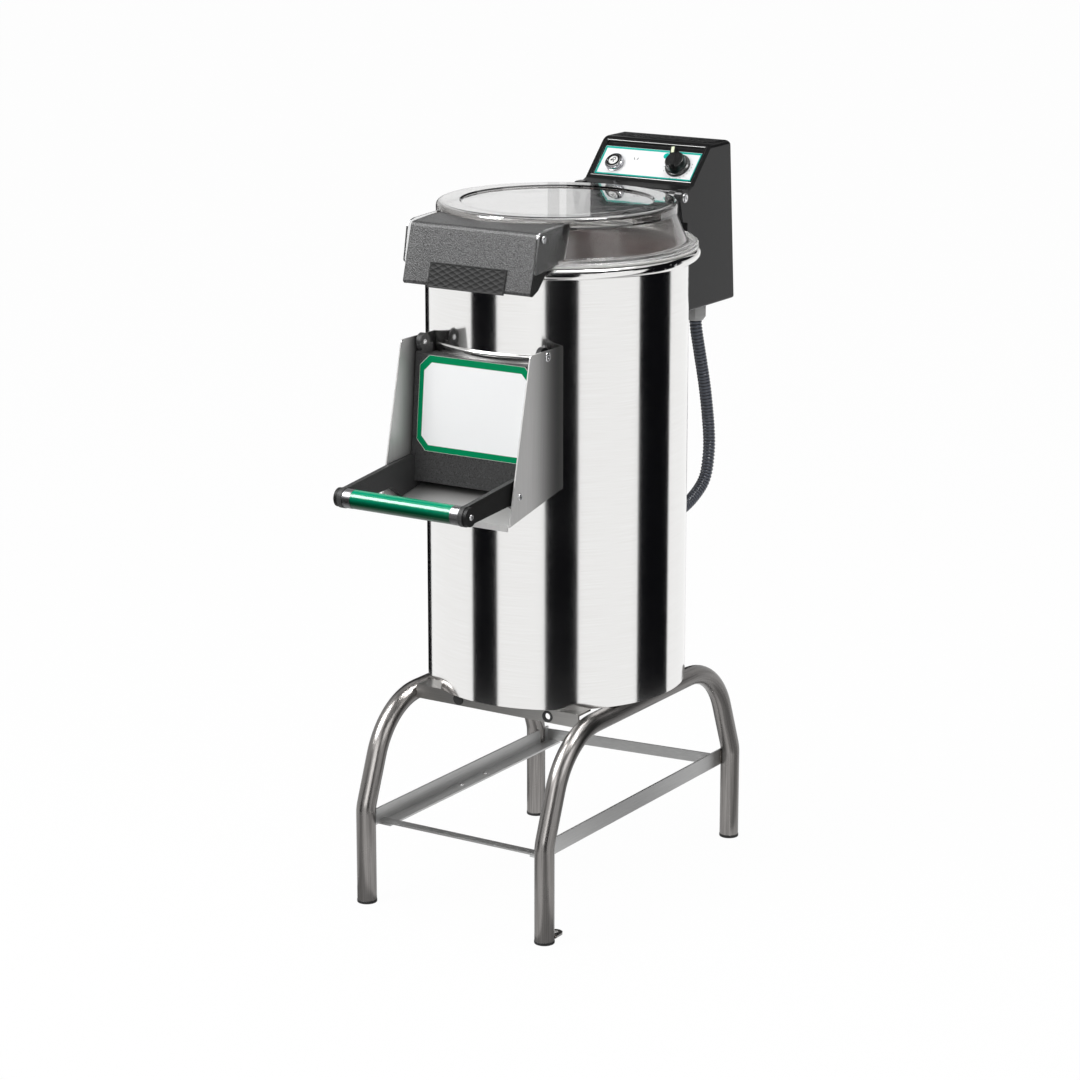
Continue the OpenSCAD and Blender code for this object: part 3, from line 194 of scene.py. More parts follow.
def glowing(name, strength):
    """A finish that only gives out light."""
    finish, tree, shader = new_finish(name)
    glow = tree.nodes.new("ShaderNodeEmission")
    glow.inputs["Strength"].default_value = strength
    feed(tree, glow.outputs[0], tree.nodes["Material Output"].inputs["Surface"])
    return finish


flag_finish, tree, shader = new_finish("black_flag")
shader.inputs["Base Color"].default_value = flag_black
shader.inputs["Roughness"].default_value = 1
shader.inputs["Specular IOR Level"].default_value = 0
band_finish = glowing("grey_band", band_grey)
for number, (start, end, low, high) in enumerate(flag_spans):
    turns = [math.radians(start + (end - start) * step / flag_steps)
             for step in range(flag_steps + 1)]
    rows = [[drum_axis + Vector((radius * math.sin(turn), -radius * math.cos(turn), z))
             for turn in turns]
            for radius, z in ((band_radius, low), (flag_radius, low), (flag_radius, high))]
    mirror_card(f"studio_flag_{number}", rows[1:], flag_finish)
    if low == on_floor:
        mirror_card(f"studio_band_{number}", rows[:2], band_finish)

card_aim = Vector((0, -0.1, 0.85))


def spread_card(left, right, up):
    """The corners of a card from the two ends of its foot and the way up it."""
    return [[Vector(end) + Vector(up) * row for end in (left, right)] for row in (0, 1)]


def aimed_card(place, width, height):
    """The corners of a card that faces the drum's front."""
    turn = (card_aim - Vector(place)).to_track_quat("-Z", "Y")
    return [[Vector(place) + turn @ Vector((x * width / 2, y * height / 2, 0))
             for x in (-1, 1)] for y in (-1, 1)]


mirror_card("studio_flag_top", spread_card((-1.5, -0.35, 2.3), (-0.1, -0.35, 2.3),
                                           (0, 0.95, 0)), flag_finish)
cards = [
    ("studio_card_front", 26, spread_card((-1.95, -1.9, 1.95), (-0.85, -2.15, 1.95),
                                          (0, 0.85, 0.85))),
    ("studio_strip_over", 60, spread_card((-0.86, -0.8, 2.25), (-0.56, -0.8, 2.25),
                                          (0, 0.38, 0))),
    ("studio_strip_side", 26, aimed_card((0.8, -0.1, 2.3), 0.3, 0.7)),
    ("studio_spot_front", 30, aimed_card((1.2, -1.6, 2.1), 0.4, 0.4)),
    ("studio_card_lid", 1.15, spread_card((-1.05, 0.9, 1.18), (-0.57, 0.9, 1.18),
                                          (0, 0, 0.52))),
    ("studio_card_gleam", 1.1, spread_card((-0.545, 0.9, 1.18), (-0.53, 0.9, 1.18),
                                           (0, 0, 0.44))),
]
for name, strength, rows in cards:
    mirror_card(name, rows, glowing(name, strength))

lamp_aim = Vector((0, 0, 0.7))
lamps = [
    ("key_lamp", (-1.6, -2.6, 3.4), 2.2, 62),
    ("side_lamp", (3.4, -0.6, 2.2), 1.8, 26),
    ("top_lamp", (0.2, 0.4, 3.6), 2.4, 26),
    ("fill_lamp", (1.0, -3.3, 1.5), 1.8, 24),
]
for name, place, width, power in lamps:
    lamp = bpy.data.objects.new(name, bpy.data.lights.new(name, "AREA"))
    lamp.data.size = width
    lamp.data.energy = power
    lamp.location = place
    lamp.rotation_euler = (lamp_aim - lamp.location).to_track_quat("-Z", "Y").to_euler()
    bpy.context.scene.collection.objects.link(lamp)


# ---- Side frames ----
# Two frames of 30 mm stainless tube, each bent from one length and satin polished, so that
# fine scratches run along the tube round its bends. The left one is shorter.

tube_r = 0.015
frame_x = 0.16
front_foot_y = drum_axis.y - 0.287
foot_z = 0.005
knee_z = 0.141
knee_r = 0.05
leg_lean = math.radians(21)
shoulder_r = 0.118
top_z = 0.303
bend_steps = 10
side_frames = [("left", -frame_x, 0.479), ("right", frame_x, 0.555)]


def bridge(shape, rings, around=True):
    """Skins neighbouring rings of points; a ring of one point closes the form."""
    for low, high in zip(rings, rings[1:]):
        count = max(len(low), len(high))
        for i in range(count if around else count - 1):
            corners = []
            for ring, at in ((low, i), (low, i + 1), (high, i + 1), (high, i)):
                corner = ring[at % len(ring)]
                if corner not in corners:
                    corners.append(corner)
            if len(corners) > 2:
                shape.faces.new(corners)


def swept(shape, line, radii, sides, capped=False):
    """Adds a round form along a line of points, with its grain as an attribute."""
    grain = shape.verts.layers.float_vector.get("grain")
    grain = grain or shape.verts.layers.float_vector.new("grain")
    line = [Vector(point) for point in line]
    ways = [(after - before).normalized() for before, after in
            zip(line[:1] + line[:-1], line[1:] + line[-1:])]
    side = ways[0].orthogonal().normalized()
    run = 0
    rings = []
    for i, (point, way, radius) in enumerate(zip(line, ways, radii)):
        side = (side - way * side.dot(way)).normalized()
        over = way.cross(side)
        run += (point - line[max(i - 1, 0)]).length
        ring = []
        for step in range(sides):
            turn = 2 * math.pi * step / sides
            off = (side * math.cos(turn) + over * math.sin(turn)) * radius
            corner = shape.verts.new(point + off)
            corner[grain] = (math.cos(turn) * radius, math.sin(turn) * radius, run)
            ring.append(corner)
        rings.append(ring)
    if capped:
        rings = [[shape.verts.new(line[0])], *rings, [shape.verts.new(line[-1])]]
    bridge(shape, rings)


def arc(centre, radius, start, end, steps):
    """Points round a centre between two angles in degrees."""
    turns = [math.radians(start + (end - start) * step / steps) for step in range(steps + 1)]
    return [(centre[0] + radius * math.cos(turn), centre[1] + radius * math.sin(turn))
            for turn in turns]


def side_frame_line(span):
    """A side frame's centre line in (y, z) from its front foot to its rear foot."""
    lean = math.degrees(leg_lean)
    leg = [(0, foot_z)] + arc((knee_r, knee_z), knee_r, 180, 180 - lean, bend_steps)
    knee_y, knee_top = leg[-1]
    shin = (top_z - shoulder_r * (1 - math.sin(leg_lean)) - knee_top) / math.cos(leg_lean)
    centre_y = knee_y + shin * math.sin(leg_lean) + shoulder_r * math.cos(leg_lean)
    leg += arc((centre_y, top_z - shoulder_r), shoulder_r, 180 - lean, 90, 2 * bend_steps)
    return leg + [(span - y, z) for y, z in reversed(leg)]


def shader_group(name, inputs, outputs):
    """An empty shader group with named sockets, and its input and output nodes."""
    group = bpy.data.node_groups.new(name, "ShaderNodeTree")
    kinds = {"value": "NodeSocketFloat", "vector": "NodeSocketVector"}
    for label, kind, default in inputs:
        socket = group.interface.new_socket(label, in_out="INPUT", socket_type=kinds[kind])
        socket.default_value = default
    for label, kind in outputs:
        group.interface.new_socket(label, in_out="OUTPUT", socket_type=kinds[kind])
    return group, group.nodes.new("NodeGroupInput"), group.nodes.new("NodeGroupOutput")


def ranged(tree, value, start, end, low=0, high=1, kind="LINEAR"):
    """A value carried from one range to another and held at its ends."""
    span = tree.nodes.new("ShaderNodeMapRange")
    span.interpolation_type = kind
    for given, label in ((value, "Value"), (start, "From Min"), (end, "From Max"),
                         (low, "To Min"), (high, "To Max")):
        feed(tree, given, span.inputs[label])
    return span.outputs[0]


def noise(tree, place, scale, detail, rough):
    """Noise from 0 to 1 over a place."""
    cells = tree.nodes.new("ShaderNodeTexNoise")
    for given, label in ((place, "Vector"), (scale, "Scale"), (detail, "Detail"),
                         (rough, "Roughness")):
        feed(tree, given, cells.inputs[label])
    return cells.outputs["Fac"]


def mixed(tree, share, first, second, blend="MIX"):
    """The blend of two colours by a share of the second."""
    mix = tree.nodes.new("ShaderNodeMix")
    mix.data_type = "RGBA"
    mix.blend_type = blend
    # A colour mix has its factor in slot 0 and its two colours in slots 6 and 7.
    for given, slot in ((share, 0), (first, 6), (second, 7)):
        feed(tree, given, mix.inputs[slot])
    return mix.outputs[2]


def brushed_grain():
    """Long fine scratches along one way, with broad dull patches between them."""
    group, given, result = shader_group(
        "brushed_grain",
        [("Place", "vector", (0, 0, 0)), ("Stretch", "vector", (900, 900, 12)),
         ("Contrast", "value", 0.8)],
        [("Scratch", "value"), ("Patch", "value")])
    stretched = worked_out(group, "ShaderNodeVectorMath", "MULTIPLY", given.outputs["Place"],
                           given.outputs["Stretch"])[0]
    fine = noise(group, stretched, scale=1, detail=5, rough=0.65)
    middle = group.nodes.new("ShaderNodeMix")
    middle.inputs["A"].default_value = 0.5
    feed(group, given.outputs["Contrast"], middle.inputs["Factor"])
    feed(group, ranged(group, fine, 0.25, 0.75), middle.inputs["B"])
    feed(group, middle.outputs["Result"], result.inputs["Scratch"])
    feed(group, noise(group, given.outputs["Place"], scale=9, detail=3, rough=0.5),
         result.inputs["Patch"])
    return group


grain_group = brushed_grain()


def effect_at(tree, group, place, label, value):
    """The outputs of a shared effect, placed in a material with its own value."""
    effect = tree.nodes.new("ShaderNodeGroup")
    effect.node_tree = group
    effect.inputs[label].default_value = value
    feed(tree, place, effect.inputs["Place"])
    return effect.outputs


def raised(tree, shader, height, strength, depth):
    """Gives a shader's surface fine relief."""
    relief = tree.nodes.new("ShaderNodeBump")
    relief.inputs["Strength"].default_value = strength
    relief.inputs["Distance"].default_value = depth
    feed(tree, height, relief.inputs["Height"])
    feed(tree, relief.outputs[0], shader.inputs["Normal"])


def object_place(tree):
    """The place on the object, in metres."""
    return tree.nodes.new("ShaderNodeTexCoord").outputs["Object"]


def swept_place(tree):
    """The place on a swept form, its Z along the form's line."""
    grain = tree.nodes.new("ShaderNodeAttribute")
    grain.attribute_name = "grain"
    return grain.outputs["Vector"]


def brushed_metal(name, dark, light, smooth, rough, stretch, depth=0.00004,
                  placed=object_place, painted_edge_shade=0):
    """Brushed metal, its grain along the short component of the stretch, with optional painted
    edge shade.
    """
    finish, tree, shader = new_finish(name)
    grain = effect_at(tree, grain_group, placed(tree), "Stretch", stretch)
    colour = mixed(tree, grain["Scratch"], dark, light)
    # Painted shade: the colour darkens towards the outline, standing in for dark reflections.
    if painted_edge_shade:
        facing = tree.nodes.new("ShaderNodeLayerWeight")
        facing.inputs["Blend"].default_value = 0.35
        colour = mixed(tree, facing.outputs["Facing"], colour, (painted_edge_shade,) * 3, "MULTIPLY")
    shader.inputs["Metallic"].default_value = 1
    feed(tree, colour, shader.inputs["Base Color"])
    feed(tree, ranged(tree, grain["Patch"], 0, 1, smooth, rough), shader.inputs["Roughness"])
    raised(tree, shader, grain["Scratch"], strength=0.4, depth=depth)
    return finish


# Its outline is darkened with painted shade.
tube_finish = brushed_metal("satin_tube", (0.13, 0.124, 0.12), (0.40, 0.382, 0.37),
                            smooth=0.24, rough=0.32, stretch=(420, 420, 9), depth=0.00006,
                            placed=swept_place, painted_edge_shade=0.3)
tube_sides = 40
for side, x, span in side_frames:
    shape = bmesh.new()
    line = [(x, front_foot_y + y, z) for y, z in side_frame_line(span)]
    swept(shape, line, [tube_r] * len(line), tube_sides)
    side_tube = mesh_piece(f"side_tube_{side}", shape, tube_finish)
    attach(side_tube, "machine")
    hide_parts(f"stand_frame_{side}")


# ---- Foot caps and floor tab ----
# Black rubber caps pushed into the tubes' ends, with a groove round each, and a steel tab
# with a screw hole welded to the front right foot.

sharp_from = math.radians(30)
bevel_from = math.radians(40)
flat_within = math.radians(0.3)
same_point = 2e-6


def smooth_by_angle():
    """A modifier tree that shades edges flatter than the given angle as smooth."""
    tree = bpy.data.node_groups.new("smooth_by_angle", "GeometryNodeTree")
    tree.interface.new_socket("Geometry", in_out="INPUT", socket_type="NodeSocketGeometry")
    limit = tree.interface.new_socket("Angle", in_out="INPUT", socket_type="NodeSocketFloat")
    limit.default_value = sharp_from
    tree.interface.new_socket("Geometry", in_out="OUTPUT", socket_type="NodeSocketGeometry")
    start = tree.nodes.new("NodeGroupInput")
    end = tree.nodes.new("NodeGroupOutput")
    edge = tree.nodes.new("GeometryNodeInputMeshEdgeAngle")
    flat = tree.nodes.new("ShaderNodeMath")
    flat.operation = "LESS_THAN"
    faces = tree.nodes.new("GeometryNodeSetShadeSmooth")
    faces.domain = "FACE"
    edges = tree.nodes.new("GeometryNodeSetShadeSmooth")
    edges.domain = "EDGE"
    for given, socket in ((start.outputs["Geometry"], faces.inputs["Geometry"]),
                          (faces.outputs[0], edges.inputs["Geometry"]),
                          (edge.outputs["Unsigned Angle"], flat.inputs[0]),
                          (start.outputs["Angle"], flat.inputs[1]),
                          (flat.outputs[0], edges.inputs["Shade Smooth"]),
                          (edges.outputs[0], end.inputs["Geometry"])):
        tree.links.new(given, socket)
    return tree


edge_shading = smooth_by_angle()


def crisp(piece):
    """Smooth shading that stays sharp at the piece's real edges."""
    shading = piece.modifiers.new("crisp_edges", "NODES")
    shading.node_group = edge_shading


def dress(finish, *names, rounded=0):
    """Gives CAD nodes their finish, clean shading and, if asked, softly rounded edges."""
    for name in names:
        part = nodes[name]
        part.data.materials.clear()
        part.data.materials.append(finish)
        weld = part.modifiers.new("weld", "WELD")
        weld.merge_threshold = same_point
        if rounded:
            flats = part.modifiers.new("flats", "DECIMATE")
            flats.decimate_type = "DISSOLVE"
            flats.angle_limit = flat_within
            edge = part.modifiers.new("edge", "BEVEL")
            edge.width = rounded
            edge.segments = 2
            edge.limit_method = "ANGLE"
            edge.angle_limit = bevel_from
        crisp(part)
        if rounded:
            even = part.modifiers.new("even_faces", "WEIGHTED_NORMAL")
            even.keep_sharp = True


def moulded_skin():
    """The fine pebbled skin of a moulded part, and faint rub marks over it."""
    group, given, result = shader_group(
        "moulded_skin",
        [("Place", "vector", (0, 0, 0)), ("Size", "value", 900)],
        [("Pebble", "value"), ("Rub", "value")])
    cells = noise(group, given.outputs["Place"], scale=given.outputs["Size"], detail=2,
                  rough=0.6)
    feed(group, ranged(group, cells, 0.3, 0.7), result.inputs["Pebble"])
    feed(group, noise(group, given.outputs["Place"], scale=14, detail=6, rough=0.7),
         result.inputs["Rub"])
    return group


skin_group = moulded_skin()


def moulded(name, dark, light, smooth, rough, size, depth, shine=0.5):
    """A moulded plastic or rubber, or a coat of paint, with a fine pebbled skin."""
    finish, tree, shader = new_finish(name)
    skin = effect_at(tree, skin_group, object_place(tree), "Size", size)
    shader.inputs["Specular IOR Level"].default_value = shine
    feed(tree, mixed(tree, skin["Pebble"], dark, light), shader.inputs["Base Color"])
    feed(tree, ranged(tree, skin["Rub"], 0, 1, smooth, rough), shader.inputs["Roughness"])
    raised(tree, shader, skin["Pebble"], strength=0.6, depth=depth)
    return finish


def turned(shape, profile, at, sides=48):
    """Adds a form turned round Z: rings of (radius, height), from its foot to its top."""
    rings = []
    for radius, height in profile:
        radii = radius if isinstance(radius, list) else [radius] * sides
        rings.append([shape.verts.new(at @ Vector((
            radii[step] * math.cos(2 * math.pi * step / sides),
            radii[step] * math.sin(2 * math.pi * step / sides), height)))
            for step in range(1 if radius == 0 else sides)])
    bridge(shape, rings)


def close_up(shape):
    """Joins points that lie on one another, so that a turned ring is closed."""
    bmesh.ops.remove_doubles(shape, verts=shape.verts, dist=1e-7)


cap_h = foot_z
plug_h = 0.018
sole_r = 0.0154
rubber_finish = moulded("black_rubber", (0.006, 0.006, 0.006), (0.018, 0.018, 0.018),
                        smooth=0.5, rough=0.7, size=1500, depth=0.00008)
shape = bmesh.new()
for side, x, span in side_frames:
    for y in (front_foot_y, front_foot_y + span):
        turned(shape, [(0, 0.0008), (sole_r - 0.005, 0.0008), (sole_r - 0.0045, 0),
                       (sole_r - 0.0012, 0), (sole_r - 0.0003, 0.0004), (sole_r, 0.0013),
                       (sole_r, 0.0024), (sole_r - 0.0005, 0.0026), (sole_r - 0.0005, 0.003),
                       (sole_r, 0.0032), (sole_r, cap_h - 0.0006), (sole_r - 0.0006, cap_h),
                       (tube_r - 0.0016, cap_h), (tube_r - 0.0017, cap_h + plug_h),
                       (0, cap_h + plug_h)],
               Matrix.Translation((x, y, 0)))
foot_caps = mesh_piece("rubber_foot_caps", shape, rubber_finish)
crisp(foot_caps)
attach(foot_caps, "machine")
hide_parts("foot_caps")
sheet_finish = brushed_metal("satin_sheet", (0.50, 0.49, 0.475), (0.66, 0.65, 0.635),
                             smooth=0.2, rough=0.3, stretch=(14, 900, 900))
dress(sheet_finish, "anchor_tab")


# ---- Cross plates, rails and bars ----
# Folded satin plates carry the drum, the front one with a black plug and a grommet in its
# holes. Below them, angle rails with rivets and flat bars of plain mill steel hold the tray.
# All of it is welded to the side frames.

plate_finish = brushed_metal("satin_plate", (0.40, 0.393, 0.38), (0.55, 0.54, 0.525),
                             smooth=0.24, rough=0.36, stretch=(14, 900, 900))
dress(plate_finish, "front_cross_plate", "rear_cross_plate", rounded=0.0004)
rail_finish = brushed_metal("mill_rail", (0.46, 0.46, 0.46), (0.60, 0.60, 0.596),
                            smooth=0.36, rough=0.48, stretch=(700, 14, 700))
dress(rail_finish, "tray_rail_left", "tray_rail_right", rounded=0.0004)
bar_finish = brushed_metal("mill_bar", (0.30, 0.30, 0.30), (0.42, 0.42, 0.416),
                           smooth=0.36, rough=0.48, stretch=(14, 700, 700))
dress(bar_finish, "front_tie_bar", "rear_stop_bar", rounded=0.0004)

plate_low, plate_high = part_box("front_cross_plate")
hole_z = (plate_low.z + plate_high.z) / 2 - 0.001
hole_r = 0.0078
bore_r = 0.005
plug_x, grommet_x = -0.069, 0.091
rubber_in, rubber_out = -0.0028, 0.0012
front_way = Matrix.Translation((0, plate_low.y, hole_z)) @ Matrix.Rotation(math.pi / 2, 4, "X")
flange = [(hole_r, rubber_in), (hole_r, 0), (0.009, 0), (0.0088, 0.0009)]
shape = bmesh.new()
turned(shape, [(0, rubber_in), *flange, (0.007, rubber_out), (0, rubber_out)],
       front_way @ Matrix.Translation((plug_x, 0, 0)))
turned(shape, [(bore_r, rubber_in), *flange, (0.0068, rubber_out), (0.0052, 0.0008),
               (bore_r, rubber_in)],
       front_way @ Matrix.Translation((grommet_x, 0, 0)))
close_up(shape)
hole_rubbers = mesh_piece("cross_plate_rubbers", shape, rubber_finish)
crisp(hole_rubbers)
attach(hole_rubbers, "machine")

flange_top = 0.126
rivet_x = 0.1375
rivet_rows = [-0.058, 0.008]
rivet_r = 0.0045
shank_r = 0.0028
shank_l = 0.0035
shape = bmesh.new()
for y in rivet_rows:
    for x in (-rivet_x, rivet_x):
        turned(shape, [(0, flange_top - shank_l), (shank_r, flange_top - shank_l),
                       (shank_r, flange_top), (rivet_r, flange_top),
                       (rivet_r * 0.9, flange_top + 0.001), (rivet_r * 0.6, flange_top + 0.0019),
                       (0, flange_top + 0.0023)],
               Matrix.Translation((x, drum_axis.y + y, 0)), 24)
rivet_finish = brushed_metal("bright_rivet", (0.42, 0.42, 0.42), (0.62, 0.62, 0.62),
                             smooth=0.2, rough=0.32, stretch=(700, 700, 700))
rail_rivets = mesh_piece("rail_rivets", shape, rivet_finish)
crisp(rail_rivets)
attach(rail_rivets, "machine")


# ---- Weld beads ----
# Short hand-laid beads, left dark and scaly, where the rails and cross plates meet the tubes
# and round the floor tab.

bead_r = 0.0021
bead_pitch = 0.0016
steps_a_ripple = 4
rail_x = 0.15
rail_low, rail_top = 0.123, 0.148
plate_x = 0.1464
plate_bead_z = (0.3, 0.31)
plate_bead_rows = [-0.168, 0.0507]
tab_bead_z = 0.0086


def weld_bead(shape, line):
    """Adds a rippled bead along a line of points, tapered at its ends."""
    line = [Vector(point) for point in line]
    points, radii = [], []
    for before, after in zip(line, line[1:]):
        steps = max(2, round((after - before).length / bead_pitch * steps_a_ripple))
        for step in range(steps):
            points.append(before.lerp(after, step / steps))
    points.append(line[-1])
    for i in range(len(points)):
        ripple = 0.86 + 0.14 * math.cos(2 * math.pi * i / steps_a_ripple
                                        + 0.4 * math.sin(i * 0.7))
        taper = min(1, 0.45 + i / 6, 0.45 + (len(points) - 1 - i) / 6)
        radii.append(bead_r * ripple * taper)
    swept(shape, points, radii, 12, capped=True)


weld_finish = brushed_metal("scaly_weld", (0.025, 0.022, 0.02), (0.20, 0.18, 0.165),
                            smooth=0.35, rough=0.6, stretch=(900, 900, 700), depth=0.0002)
shape = bmesh.new()
for side, x, span in side_frames:
    toward = -1 if x > 0 else 1
    joint_x = x + toward * (frame_x - rail_x)
    joint_reach = math.sqrt(tube_r ** 2 - (frame_x - rail_x) ** 2) + 0.0012
    for y in (front_foot_y + joint_reach, front_foot_y + span - joint_reach):
        weld_bead(shape, [(joint_x, y, rail_low + 0.002), (joint_x, y, rail_top - 0.001)])
    for y in plate_bead_rows:
        weld_bead(shape, [(-toward * plate_x, drum_axis.y + y, z) for z in plate_bead_z])
tab_ring = arc((frame_x, front_foot_y), tube_r + 0.0012, 30, 150, 14)
weld_bead(shape, [(x, y, tab_bead_z) for x, y in tab_ring])
weld_beads = mesh_piece("weld_beads", shape, weld_finish)
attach(weld_beads, "machine")


# ---- Stand bolts ----
# Four plated steel bolts with hexagon nuts clamp the drum's base plate to the two cross
# plates.

bolt_finish = brushed_metal("bright_bolt", (0.50, 0.50, 0.51), (0.74, 0.74, 0.75),
                            smooth=0.16, rough=0.28, stretch=(700, 700, 700))
dress(bolt_finish, "stand_bolts")


# ---- Drum ----
# A rolled sheet of polished stainless steel with a bead curled into its rim and a lip pressed
# over the door's window. A fine turned grain runs round it.

drum_finish = brushed_metal("polished_drum", (0.79, 0.78, 0.765), (0.87, 0.87, 0.865),
                            smooth=0.08, rough=0.14, stretch=(12, 12, 900), depth=0.00001)
dress(drum_finish, "drum_shell")


# ---- Drum floor and base ----
# Satin stainless discs: the base plate that the stand carries, the wet chamber's floor with
# its raised collar, and the drive plate between them.

floor_plate_finish = brushed_metal("satin_disc", (0.40, 0.395, 0.385), (0.55, 0.545, 0.535),
                                   smooth=0.26, rough=0.4, stretch=(500, 30, 500))
dress(floor_plate_finish, "base_plate", "chamber_floor", "drive_plate")


# ---- Rim gasket ----
# A flat ring of pale grey silicone rubber, laid on the drum's rim. The lid's flange sits on
# it.

gasket_finish = moulded("pale_silicone", (0.42, 0.42, 0.41), (0.52, 0.52, 0.50),
                        smooth=0.45, rough=0.6, size=1100, depth=0.00005)
dress(gasket_finish, "rim_gasket")


# ---- Abrasive lining and disc ----
# Reddish brown grit bonded to the chamber's wall and to the turning disc, with coarse grains
# that stand proud and wear pale at their tips.

abrasive_finish = moulded("bonded_grit", (0.010, 0.004, 0.003), (0.060, 0.028, 0.022),
                          smooth=0.7, rough=0.95, size=620, depth=0.0011)
dress(abrasive_finish, "abrasive_liner", "abrasive_disc")


# ---- Spindle, nut and bearings ----
# The ground steel spindle turns in two ball bearings with a rubber seal above them, and a
# bright nut holds the disc on it.

spindle_finish = brushed_metal("ground_spindle", (0.46, 0.46, 0.47), (0.66, 0.66, 0.67),
                               smooth=0.18, rough=0.3, stretch=(20, 20, 1200))
dress(spindle_finish, "disc_spindle", "spindle_bearings")
dress(bolt_finish, "disc_nut")
dress(rubber_finish, "shaft_seal")


# ---- Bearing housing ----
# A ribbed iron casting, painted grey, that holds both bearings. It is bolted under the
# chamber's floor.

cast_finish = moulded("painted_casting", (0.12, 0.13, 0.14), (0.21, 0.22, 0.235),
                      smooth=0.42, rough=0.6, size=420, depth=0.0003)
dress(cast_finish, "bearing_housing")


# ---- Belt drive ----
# Two turned aluminium pulleys and a flat black rubber belt carry the motor's turn to the
# spindle: the small one on the motor's shaft, the large one under the chamber.

pulley_finish = brushed_metal("turned_pulley", (0.36, 0.37, 0.385), (0.56, 0.57, 0.585),
                              smooth=0.26, rough=0.4, stretch=(30, 30, 1400))
dress(pulley_finish, "large_pulley", "motor_pulley")
belt_finish = moulded("belt_rubber", (0.006, 0.006, 0.006), (0.022, 0.022, 0.023),
                      smooth=0.55, rough=0.75, size=1300, depth=0.00012)
dress(belt_finish, "drive_belt")


# ---- Motor ----
# A finned motor hangs under the drive plate, painted blue grey, with a ground shaft and a
# black moulded fan inside its cowl.

motor_finish = moulded("motor_paint", (0.10, 0.13, 0.16), (0.17, 0.21, 0.25),
                       smooth=0.36, rough=0.5, size=380, depth=0.00018)
dress(motor_finish, "motor_housing")
dress(spindle_finish, "motor_shaft")
fan_finish = moulded("fan_plastic", (0.010, 0.010, 0.011), (0.025, 0.025, 0.027),
                     smooth=0.4, rough=0.55, size=900, depth=0.0001)
dress(fan_finish, "motor_fan")


# ---- Drain and water stubs ----
# At the back, a flanged stainless spout lets the peelings' water out, and a brass stub with a
# hexagon nut lets clean water in.

dress(sheet_finish, "drain_outlet")
brass_finish = brushed_metal("machined_brass", (0.56, 0.41, 0.17), (0.76, 0.60, 0.30),
                             smooth=0.2, rough=0.34, stretch=(900, 30, 900))
dress(brass_finish, "water_inlet")


# ---- Chute ----
# A folded hood of satin stainless sheet screwed to the drum: two tall sides, a sloped floor
# and a lip that turns down at its mouth. The grain runs up its sides, and painted shade
# darkens them towards the drum, for the door's shadow and its dark reflection in the sheet.

painted_shade_from, painted_shade_full = -0.243, -0.157
inward = (-0.09, 1, 0)
chute_painted_shade = (0.02, 0.02, 0.02)
chute_finish = brushed_metal("satin_chute", (0.47, 0.465, 0.46), (0.58, 0.575, 0.57),
                             smooth=0.34, rough=0.42, stretch=(900, 900, 12), depth=0.00003)
tree, shader = opened(chute_finish)
shader.inputs["Metallic"].default_value = 0.4
# Painted shade: the sides darken towards the drum, for the door's shadow and dark reflection.
how_far_in = worked_out(tree, "ShaderNodeVectorMath", "DOT_PRODUCT", object_place(tree),
                        inward)["Value"]
painted_shade_share = ranged(tree, how_far_in, painted_shade_from, painted_shade_full, kind="SMOOTHSTEP")
base = shader.inputs["Base Color"]
feed(tree, mixed(tree, painted_shade_share, base.links[0].from_socket, chute_painted_shade), base)
dress(chute_finish, "chute", rounded=0.0003)


# ---- Chute screws ----
# Bright button-head screws with hexagon sockets: two are the door's pivots, and two below
# them catch its arms.

chute_out_x = 0.113


def hexagon(across, sides):
    """The distance to a hexagon's outline at each step of a turn."""
    steps = [math.radians((360 * step / sides) % 60 - 30) for step in range(sides)]
    return [across / 2 / math.cos(turn) for turn in steps]


def socket_screw(shape, at, way, head_r, head_h, shaft_r, shaft_l, sides=36):
    """Adds a button-head screw whose head seats at a point and faces one way."""
    turn = Vector(way).to_track_quat("Z", "Y").to_matrix().to_4x4()
    key = hexagon(head_r * 0.95, sides)
    turned(shape, [(0, -shaft_l), (shaft_r, -shaft_l), (shaft_r, 0), (head_r, 0),
                   (head_r, head_h * 0.3), (head_r * 0.93, head_h * 0.62),
                   (head_r * 0.8, head_h * 0.86), (head_r * 0.66, head_h),
                   (key, head_h), (key, head_h * 0.25), (0, head_h * 0.2)],
           Matrix.Translation(at) @ turn, sides)


def screw_pair(shape, x, y, z, head_r, head_h, shaft_r, shaft_l):
    """Adds a screw on each side whose head faces outward."""
    for way in (-1, 1):
        socket_screw(shape, (way * x, y, z), (way, 0, 0), head_r, head_h, shaft_r, shaft_l)


pivot_y, pivot_z = drum_axis.y - 0.205, 0.861
catch_y, catch_z = drum_axis.y - 0.28, 0.669
shape = bmesh.new()
screw_pair(shape, chute_out_x, pivot_y, pivot_z, head_r=0.007, head_h=0.0025, shaft_r=0.004,
           shaft_l=0.013)
screw_pair(shape, chute_out_x, catch_y, catch_z, head_r=0.0055, head_h=0.0025, shaft_r=0.003,
           shaft_l=0.003)
chute_screws = mesh_piece("chute_socket_screws", shape, bolt_finish)
crisp(chute_screws)
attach(chute_screws, "machine")
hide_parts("chute_screws")


# ---- Door ----
# One dark moulding with a pebbled skin: a panel, and two arms that swing on the chute's
# pivots and carry the handle bar. The outer faces of the arms are painted black as shade.

arm_face_x = 0.1076
side_shade_black = (0.004, 0.004, 0.004)


def paint_side_shade(finish, beyond):
    """Paints shade: turns a finish black on faces that lie farther out to the sides than a
    distance.
    """
    tree, shader = opened(finish)
    apart = tree.nodes.new("ShaderNodeSeparateXYZ")
    feed(tree, object_place(tree), apart.inputs[0])
    across = worked_out(tree, "ShaderNodeMath", "ABSOLUTE", apart.outputs["X"])[0]
    outer = worked_out(tree, "ShaderNodeMath", "GREATER_THAN", across, beyond)[0]
    base = shader.inputs["Base Color"]
    feed(tree, mixed(tree, outer, base.links[0].from_socket, side_shade_black), base)


